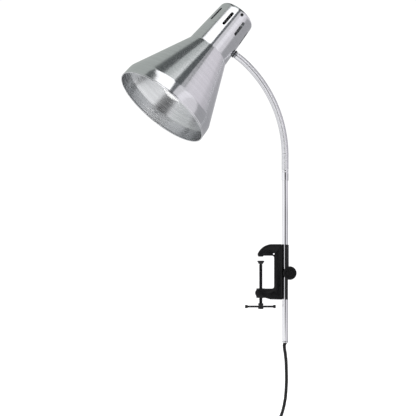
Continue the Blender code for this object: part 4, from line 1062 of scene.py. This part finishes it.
@dataclass
class Cord:
    """The lead from the rod, the inline switch, the coiled spare length and the plug."""

    radius: float = 0.0024
    turn_shift: float = radians(120)
    turn_gap: float = 0.0049
    mid_radius: float = 0.0285
    centre: tuple[float, float] = (-0.1500, -0.0358)
    drop: Route = (
        (0.0352, 0.0, -0.1337), (0.0356, 0.0, -0.1386), (0.0366, 0.0, -0.1446),
        (0.0372, 0.0, -0.1506), (0.0379, 0.0, -0.1566), (0.0383, 0.0, -0.1686),
        (0.0385, 0.0, -0.1770), (0.0385, 0.0, -0.1866), (0.0380, 0.0, -0.1986),
        (0.0370, 0.0, -0.2106), (0.0361, 0.0, -0.2166), (0.0340, 0.0, -0.2270),
        (0.0310, 0.0, -0.2370), (0.0265, 0.0, -0.2470), (0.0205, 0.0, -0.2565),
        (0.0125, 0.0, -0.2650), (0.0030, 0.0, -0.2720), (-0.0080, 0.0, -0.2770),
        (-0.0200, 0.0, -0.2800), (-0.0320, 0.0, -0.2812), (-0.0460, 0.0, -0.2815),
    )
    to_coil: Route = (
        (-0.1040, 0.0, -0.2815), (-0.1090, 0.0, -0.2816), (-0.1130, 0.0, -0.2821),
        (-0.1170, 0.0, -0.2829), (-0.1210, 0.0, -0.2838), (-0.1250, 0.0, -0.2847),
        (-0.1290, 0.0, -0.2855), (-0.1380, 0.0, -0.2863),
    )
    to_plug: Route = (
        (-0.1440, -0.0741, -0.2823), (-0.1380, -0.0741, -0.2824), (-0.1290, -0.0741, -0.2828),
        (-0.1240, -0.0741, -0.2830), (-0.1190, -0.0741, -0.2832), (-0.1120, -0.0741, -0.2832),
        (-0.1045, -0.0741, -0.28325),
    )

    def build(self) -> None:
        """Make the cord and everything on it."""
        self.floor = CAD_BOX[0][2]
        fittings = self._switch()
        plug = self._plug()
        drop = self._smooth(self.drop)
        lead = self._tube("lamp_lead", drop)
        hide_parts("power_cord")
        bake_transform(lead)
        spare = self._smooth([*self.to_coil, *self._turns(), *self.to_plug])
        tail = self._tube("plug_lead", spare)
        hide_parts("switch_cord", "cord_coil", "plug_cord")
        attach(tail, "clamp")
        tie = eased_piece("coil_strap", "coil_tie", 0.0003, KNOB_PLASTIC, "clamp")

    def _smooth(self, route: Route | list[Point], spacing: float = 0.0025) -> list[Point]:
        """Points along a smooth curve through a route's own points.

        Args:
            route: The route's points.
            spacing: Distance between the points of the curve.

        Returns:
            Evenly spaced points.
        """
        spots = [Vector(p) for p in route]
        spots = [2 * spots[0] - spots[1], *spots, 2 * spots[-1] - spots[-2]]
        dense: list[Vector] = []
        for a, b, c, d in zip(spots, spots[1:], spots[2:], spots[3:]):
            for t in np.linspace(0, 1, 16, endpoint=False):
                line = 2 * b + (c - a) * t
                curve = (2 * a - 5 * b + 4 * c - d) * t**2 + (3 * b - a - 3 * c + d) * t**3
                dense.append((line + curve) / 2)
        dense.append(spots[-2])
        runs = np.cumsum([0.0] + [(q - p).length for p, q in zip(dense, dense[1:])])
        wanted = np.linspace(0, runs[-1], round(runs[-1] / spacing) + 1)
        xyz = np.array(dense)
        return [tuple(float(np.interp(s, runs, xyz[:, k])) for k in range(3)) for s in wanted]

    def _turns(self) -> list[Point]:
        """The coil's turns, four low, three in the hollows above, then one on top.

        Returns:
            Points from the coil's outer entry to the way out to the plug.
        """
        rise = sqrt(0.75)
        places = [
            (1.5, 0), (0.5, 0), (-0.5, 0), (-1.5, 0), (-1, rise), (0, rise), (1, rise), (0.5, 2 * rise),
            (1.5, 2 * rise), (2, rise),
        ]
        turns = len(places) - 2
        steps = 24
        base = self.floor + 0.0011 + self.radius
        shifts = [radians(330) - k * radians(36) for k in range(turns)] + [radians(60)]
        points = []
        for step in range(1, int((turns + 0.5) * steps) - 1):
            swept = step * tau / steps
            place = 0.0
            for k, shift in enumerate(shifts):
                begin = k * tau + shift
                passed = min(1.0, max(0.0, (swept - begin) / self.turn_shift + 0.5))
                place += (1 - cos(pi * passed)) / 2
            first = min(int(place), len(places) - 2)
            share = place - first
            out = places[first][0] * (1 - share) + places[first + 1][0] * share
            up = places[first][1] * (1 - share) + places[first + 1][1] * share
            angle = pi / 2 + swept
            reach = self.mid_radius + out * self.turn_gap
            points.append((
                self.centre[0] + reach * cos(angle), self.centre[1] + reach * sin(angle),
                base + up * self.turn_gap,
            ))
        return points

    def _tube(self, name: str, path: list[Point]) -> bpy.types.Object:
        """A round cord as a mesh tube along its path."""
        curve = bpy.data.curves.new(name, "CURVE")
        curve.dimensions = "3D"
        curve.bevel_depth = self.radius
        curve.bevel_resolution = 4
        curve.use_fill_caps = True
        spline = curve.splines.new("POLY")
        spline.points.add(len(path) - 1)
        for spot, xyz in zip(spline.points, path):
            spot.co = (*xyz, 1.0)
        guide = linked("guide", curve)
        graph = bpy.context.evaluated_depsgraph_get()
        mesh = bpy.data.meshes.new_from_object(guide.evaluated_get(graph), depsgraph=graph)
        bpy.data.objects.remove(guide, do_unlink=True)
        bpy.data.curves.remove(curve)
        mesh.name = name
        bm = bmesh.new()
        bm.from_mesh(mesh)
        bmesh.ops.remove_doubles(bm, verts=bm.verts, dist=1e-6)
        bmesh.ops.recalc_face_normals(bm, faces=bm.faces)
        bm.to_mesh(mesh)
        bm.free()
        mesh.materials.clear()
        mesh.materials.append(LEAD_PLASTIC.material())
        mesh.shade_smooth()
        thing = linked(name, mesh)
        return thing

    def _boot(self, name: str, at: Vector, axis: Vector, length: float, wide: float) -> bpy.types.Object:
        """A tapered strain relief with rings, round the cord.

        Args:
            name: Name of the piece.
            at: Where the boot leaves its housing.
            axis: The way that the cord leaves.
            length: The boot's length.
            wide: Its radius at the housing.

        Returns:
            The boot.
        """
        inner = self.radius + 0.0002
        rings = 6
        outline: Outline = [(inner, -0.002), (wide, -0.002), (wide, 0.0008, 0.0003)]
        for ring in range(rings):
            share = (ring + 0.5) / rings
            height = 0.001 + share * (length - 0.002)
            r = wide + (inner + 0.0006 - wide) * share
            outline += [
                (r - 0.0005, height - 0.0003, 0.0002), (r - 0.0005, height + 0.0003, 0.0002),
                (r, height + 0.0006, 0.0003), (r - 0.0001, height + length / rings - 0.0008, 0.0003),
            ]
        outline += [(inner + 0.0005, length, 0.0003), (inner, length)]
        bm = spun(softened(outline, 2), 40, along(axis, at), closed=True)
        return add_piece(name, bm, LEAD_PLASTIC, "clamp")

    def _switch(self) -> list[bpy.types.Object]:
        """The inline switch: base, cover, rocker and a boot at each end."""
        low, high = box_of("switch_base")
        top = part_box("switch_cover")[1][2]
        part = high.z
        base = soft_box(low, high, 0.0080, 0.0, 6)
        lower_rim = [e for e in base.edges if all(v.co.z < low.z + 1e-5 for v in e.verts)]
        round_edges(base, lower_rim, 0.0016, 4)
        lower = add_piece("switch_lower", base, KNOB_PLASTIC, "clamp", ("switch_base",))
        cover = soft_box((low.x, low.y, part + GAP), (high.x, high.y, top), 0.0080, 0.0, 6)
        upper_rim = [e for e in cover.edges if all(v.co.z > top - 1e-5 for v in e.verts)]
        round_edges(cover, upper_rim, 0.0030, 6)
        upper = add_piece("switch_upper", cover, KNOB_PLASTIC, "clamp", ("switch_cover",))
        centre = joint_at("switch_press")
        reach = Vector((0.0101, 0.0061, 0))
        for thing, bottom in ((upper, part - 0.001), (lower, part - 0.0025)):
            sill, lintel = Vector((centre.x, 0, bottom)) - reach, Vector((centre.x, 0, top + 0.01)) + reach
            carve(thing, soft_box(sill, lintel, 0.0010, 0.0, 3))
        rocker = eased_copy("switch_rocker", 0.0005, 3, 20)
        key = add_piece("switch_key", rocker, KNOB_PLASTIC, "switch_rocker", ("switch_rocker",))
        axis_z = (low.z + top) / 2
        boots = [
            self._boot("switch_boot_in", Vector((high.x, 0, axis_z)), ALONG_X, 0.008, 0.0040),
            self._boot("switch_boot_out", Vector((low.x, 0, axis_z)), -ALONG_X, 0.006, 0.0040),
        ]
        return [lower, upper, key, *boots]

    def _plug(self) -> list[bpy.types.Object]:
        """The flat plug, its two sleeved pins and its boot."""
        low, high = box_of("plug_body")
        body = eased_piece("flat_plug", "plug_body", 0.0004, KNOB_PLASTIC, "clamp")
        axis_z = (low.z + high.z) / 2
        pins = []
        for node in ("plug_pin_left", "plug_pin_right"):
            pin_low, pin_high = box_of(node)
            y = (pin_low.y + pin_high.y) / 2
            r, start = (pin_high.y - pin_low.y) / 2, high.x
            place = along(ALONG_X, Vector((start, y, axis_z)))
            tip = pin_high.x - start
            metal = softened([
                (0, -0.0075), (r - 0.0004, -0.0075), (r - 0.0004, 0.0098), (r, 0.0100, 0.0001),
                (r, tip, 0.0016), (0, tip),
            ], 5)
            pins.append(add_piece(f"{node}_metal", spun(metal, 40, place), ZINC, "clamp", (node,)))
            sleeve = softened([
                (r - 0.0003, -0.007), (r, -0.007), (r, 0.0098, 0.0002), (r - 0.0003, 0.0098),
            ])
            shape = spun(sleeve, 40, place, closed=True)
            pins.append(add_piece(f"{node}_sleeve", shape, KNOB_PLASTIC, "clamp"))
        middle_y = (low.y + high.y) / 2
        boot = self._boot("plug_boot", Vector((low.x, middle_y, axis_z)), -ALONG_X, 0.0200, 0.0048)
        return [body, *pins, boot]


# ---------------------------------------------------------------- studio


@dataclass(frozen=True)
class Panel:
    """A panel of the light tent, seen only in reflections.

    Its sides are turns about the line to the camera, from the right (0) over the top (90) to
    the left (180). Its ends are angles away from the camera's side. All are in degrees.
    """

    name: str
    low: float
    high: float
    near: float
    far: float
    tone: tuple[float, float, float]

    def points(self, middle: Vector, reach: float, steps: int) -> list[Vector]:
        """Points of the panel, bent round the lamp.

        Args:
            middle: The lamp's middle.
            reach: Distance from there to the panel.
            steps: Facets along each side.

        Returns:
            Rows of points, each row from the low side to the high side.
        """
        spots = []
        for away in np.linspace(radians(self.near), radians(self.far), steps + 1):
            for turn in np.linspace(radians(self.low), radians(self.high), steps + 1):
                ahead = Vector((sin(away) * cos(turn), -cos(away), sin(away) * sin(turn)))
                spots.append(middle + ahead * reach)
        return spots


PANELS = (
    Panel("camera_gap", 0, 360, 0, 20, (0.0, 0.0, 0.0)),
    Panel("left_wall", 160, 205, 20, 125, (1.10, 1.10, 1.12)),
    Panel("front_right_low", -42, 12, 26, 80, (0.82, 0.80, 0.84)),
    Panel("front_right", 12, 30, 26, 82, (1.02, 1.00, 1.05)),
    Panel("front_right_high", 30, 49, 26, 82, (0.78, 0.77, 0.80)),
    Panel("front_gap", 49, 63, 26, 80, (0.16, 0.17, 0.18)),
    Panel("front_window", 63, 106, 26, 80, (1.55, 1.55, 1.56)),
    Panel("front_left_gap", 106, 128, 26, 84, (0.12, 0.13, 0.13)),
    Panel("front_left", 128, 160, 26, 84, (0.50, 0.52, 0.51)),
    Panel("side_low", -42, 3, 80, 170, (0.42, 0.42, 0.44)),
    Panel("side", 3, 12, 80, 170, (0.64, 0.62, 0.66)),
    Panel("side_high", 12, 42, 82, 170, (0.80, 0.77, 0.82)),
    Panel("top_gap", 42, 60, 80, 170, (0.08, 0.09, 0.09)),
    Panel("top", 60, 81, 80, 170, (0.46, 0.49, 0.48)),
    Panel("top_left_gap", 81, 95, 80, 170, (0.10, 0.11, 0.11)),
    Panel("back_left", 95, 160, 84, 170, (0.46, 0.49, 0.47)),
    Panel("table", 205, 318, 20, 110, (1.15, 1.15, 1.16)),
)


@dataclass
class Studio:
    """The floor, the tent that the metal reflects, the lights and the camera."""

    view_width: float = 0.624
    view_centre: tuple[float, float] = (-0.0792, 0.0729)
    distance: float = 2.40
    sensor: float = 36.0
    middle: tuple[float, float, float] = (-0.08, 0.0, 0.20)
    tent_reach: float = 5.0
    tent_strength: float = 0.62
    backdrop_strength: float = 1.05
    floor_size: float = 30.0
    floor_glow: float = 0.6

    def build(self) -> None:
        """Set up the whole studio."""
        self._world()
        self._floor()
        for number, panel in enumerate(PANELS):
            self._panel(panel, self.tent_reach + 0.1 * number)
        self._lights()
        self._camera()

    def _world(self) -> None:
        """White to the eye, a soft pale grey to everything else."""
        world = bpy.data.worlds.new("tent")
        bpy.context.scene.world = world
        world.use_nodes = True
        tree = world.node_tree
        tent = tree.nodes["Background"]
        tent.inputs["Color"].default_value = (0.98, 0.98, 1.0, 1)
        tent.inputs["Strength"].default_value = self.tent_strength
        white = tree.nodes.new("ShaderNodeBackground")
        white.inputs["Color"].default_value = (1, 1, 1, 1)
        white.inputs["Strength"].default_value = self.backdrop_strength
        path = tree.nodes.new("ShaderNodeLightPath")
        mix = tree.nodes.new("ShaderNodeMixShader")
        tree.links.new(path.outputs["Is Camera Ray"], mix.inputs["Fac"])
        tree.links.new(tent.outputs["Background"], mix.inputs[1])
        tree.links.new(white.outputs["Background"], mix.inputs[2])
        tree.links.new(mix.outputs["Shader"], tree.nodes["World Output"].inputs["Surface"])

    def _glowing(
        self, name: str, grey: float, roughness: float, specular: float, tone: tuple[float, ...],
        strength: float,
    ) -> bpy.types.Material:
        """A plain material that gives off light.

        Args:
            name: Name of the material.
            grey: How light its own colour is.
            roughness: Its roughness.
            specular: How much it reflects.
            tone: Colour of the light that it gives off.
            strength: Strength of that light.

        Returns:
            The material.
        """
        made = bpy.data.materials.new(name)
        made.use_nodes = True
        shader = made.node_tree.nodes["Principled BSDF"]
        shader.inputs["Base Color"].default_value = (grey, grey, grey, 1)
        shader.inputs["Roughness"].default_value = roughness
        shader.inputs["Specular IOR Level"].default_value = specular
        shader.inputs["Emission Color"].default_value = tone
        shader.inputs["Emission Strength"].default_value = strength
        return made

    def _panel(self, panel: Panel, reach: float) -> None:
        """Hang one panel of the tent.

        Args:
            panel: Its direction and how bright it is.
            reach: Its distance from the lamp.
        """
        bm = bmesh.new()
        steps = 12
        spots = [bm.verts.new(p) for p in panel.points(Vector(self.middle), reach, steps)]
        for row in range(steps):
            for k in range(steps):
                here = row * (steps + 1) + k
                above = here + steps + 1
                bm.faces.new([spots[here], spots[here + 1], spots[above + 1], spots[above]])
        bmesh.ops.remove_doubles(bm, verts=bm.verts, dist=1e-4)
        mesh = mesh_from(panel.name, bm)
        mesh.materials.append(self._glowing(panel.name, 0.0, 1.0, 0.0, (*panel.tone, 1), 1.0))
        hung = linked(panel.name, mesh)
        hung.visible_camera = False
        hung.visible_diffuse = False
        hung.visible_shadow = False

    def _floor(self) -> None:
        """A wide pale floor under the coiled cord."""
        bm = bmesh.new()
        bmesh.ops.create_grid(bm, x_segments=1, y_segments=1, size=self.floor_size)
        bmesh.ops.translate(bm, verts=bm.verts, vec=(0, 0, CAD_BOX[0][2] - 0.0002))
        mesh = mesh_from("floor", bm)
        mesh.materials.append(self._glowing("floor_paper", 0.9, 0.9, 0.5, (1, 1, 1, 1), self.floor_glow))
        floor = linked("floor", mesh)
        floor.visible_glossy = False

    def _light(self, name: str, at: Point, size: tuple[float, float], power: float) -> None:
        """A soft rectangular light that faces the shade."""
        data = bpy.data.lights.new(name, "AREA")
        data.shape = "RECTANGLE"
        data.size, data.size_y = size
        data.energy = power
        lamp = linked(name, data)
        aim = Vector(self.middle) - Vector(at)
        lamp.visible_glossy = False
        lamp.matrix_world = Matrix.Translation(at) @ aim.to_track_quat("-Z", "Y").to_matrix().to_4x4()

    def _lights(self) -> None:
        """A key above and in front, and a broad fill on the right."""
        self._light("key", (-0.25, -1.0, 2.0), (0.5, 0.9), 18.0)
        self._light("fill", (2.2, -0.4, 0.8), (1.8, 1.8), 14.0)

    def _camera(self) -> None:
        """The camera, square on to the lamp with a long lens."""
        data = bpy.data.cameras.new("camera")
        data.sensor_width = self.sensor
        data.lens = self.sensor * self.distance / self.view_width
        data.clip_end = 100
        camera = linked("camera", data)
        x, z = self.view_centre
        camera.matrix_world = Matrix.Translation((x, -self.distance, z)) @ Matrix.Rotation(pi / 2, 4, "X")
        scene = bpy.context.scene
        scene.camera = camera
        scene.view_settings.view_transform = "Standard"


def main() -> None:
    """Build the studio and the lamp."""
    logging.basicConfig(level=logging.INFO, format="%(name)s %(message)s")
    Studio().build()
    Cord().build()
    Clamp().build()
    RodAndNeck().build()
    Shade().build()


if __name__ == "__main__":
    main()
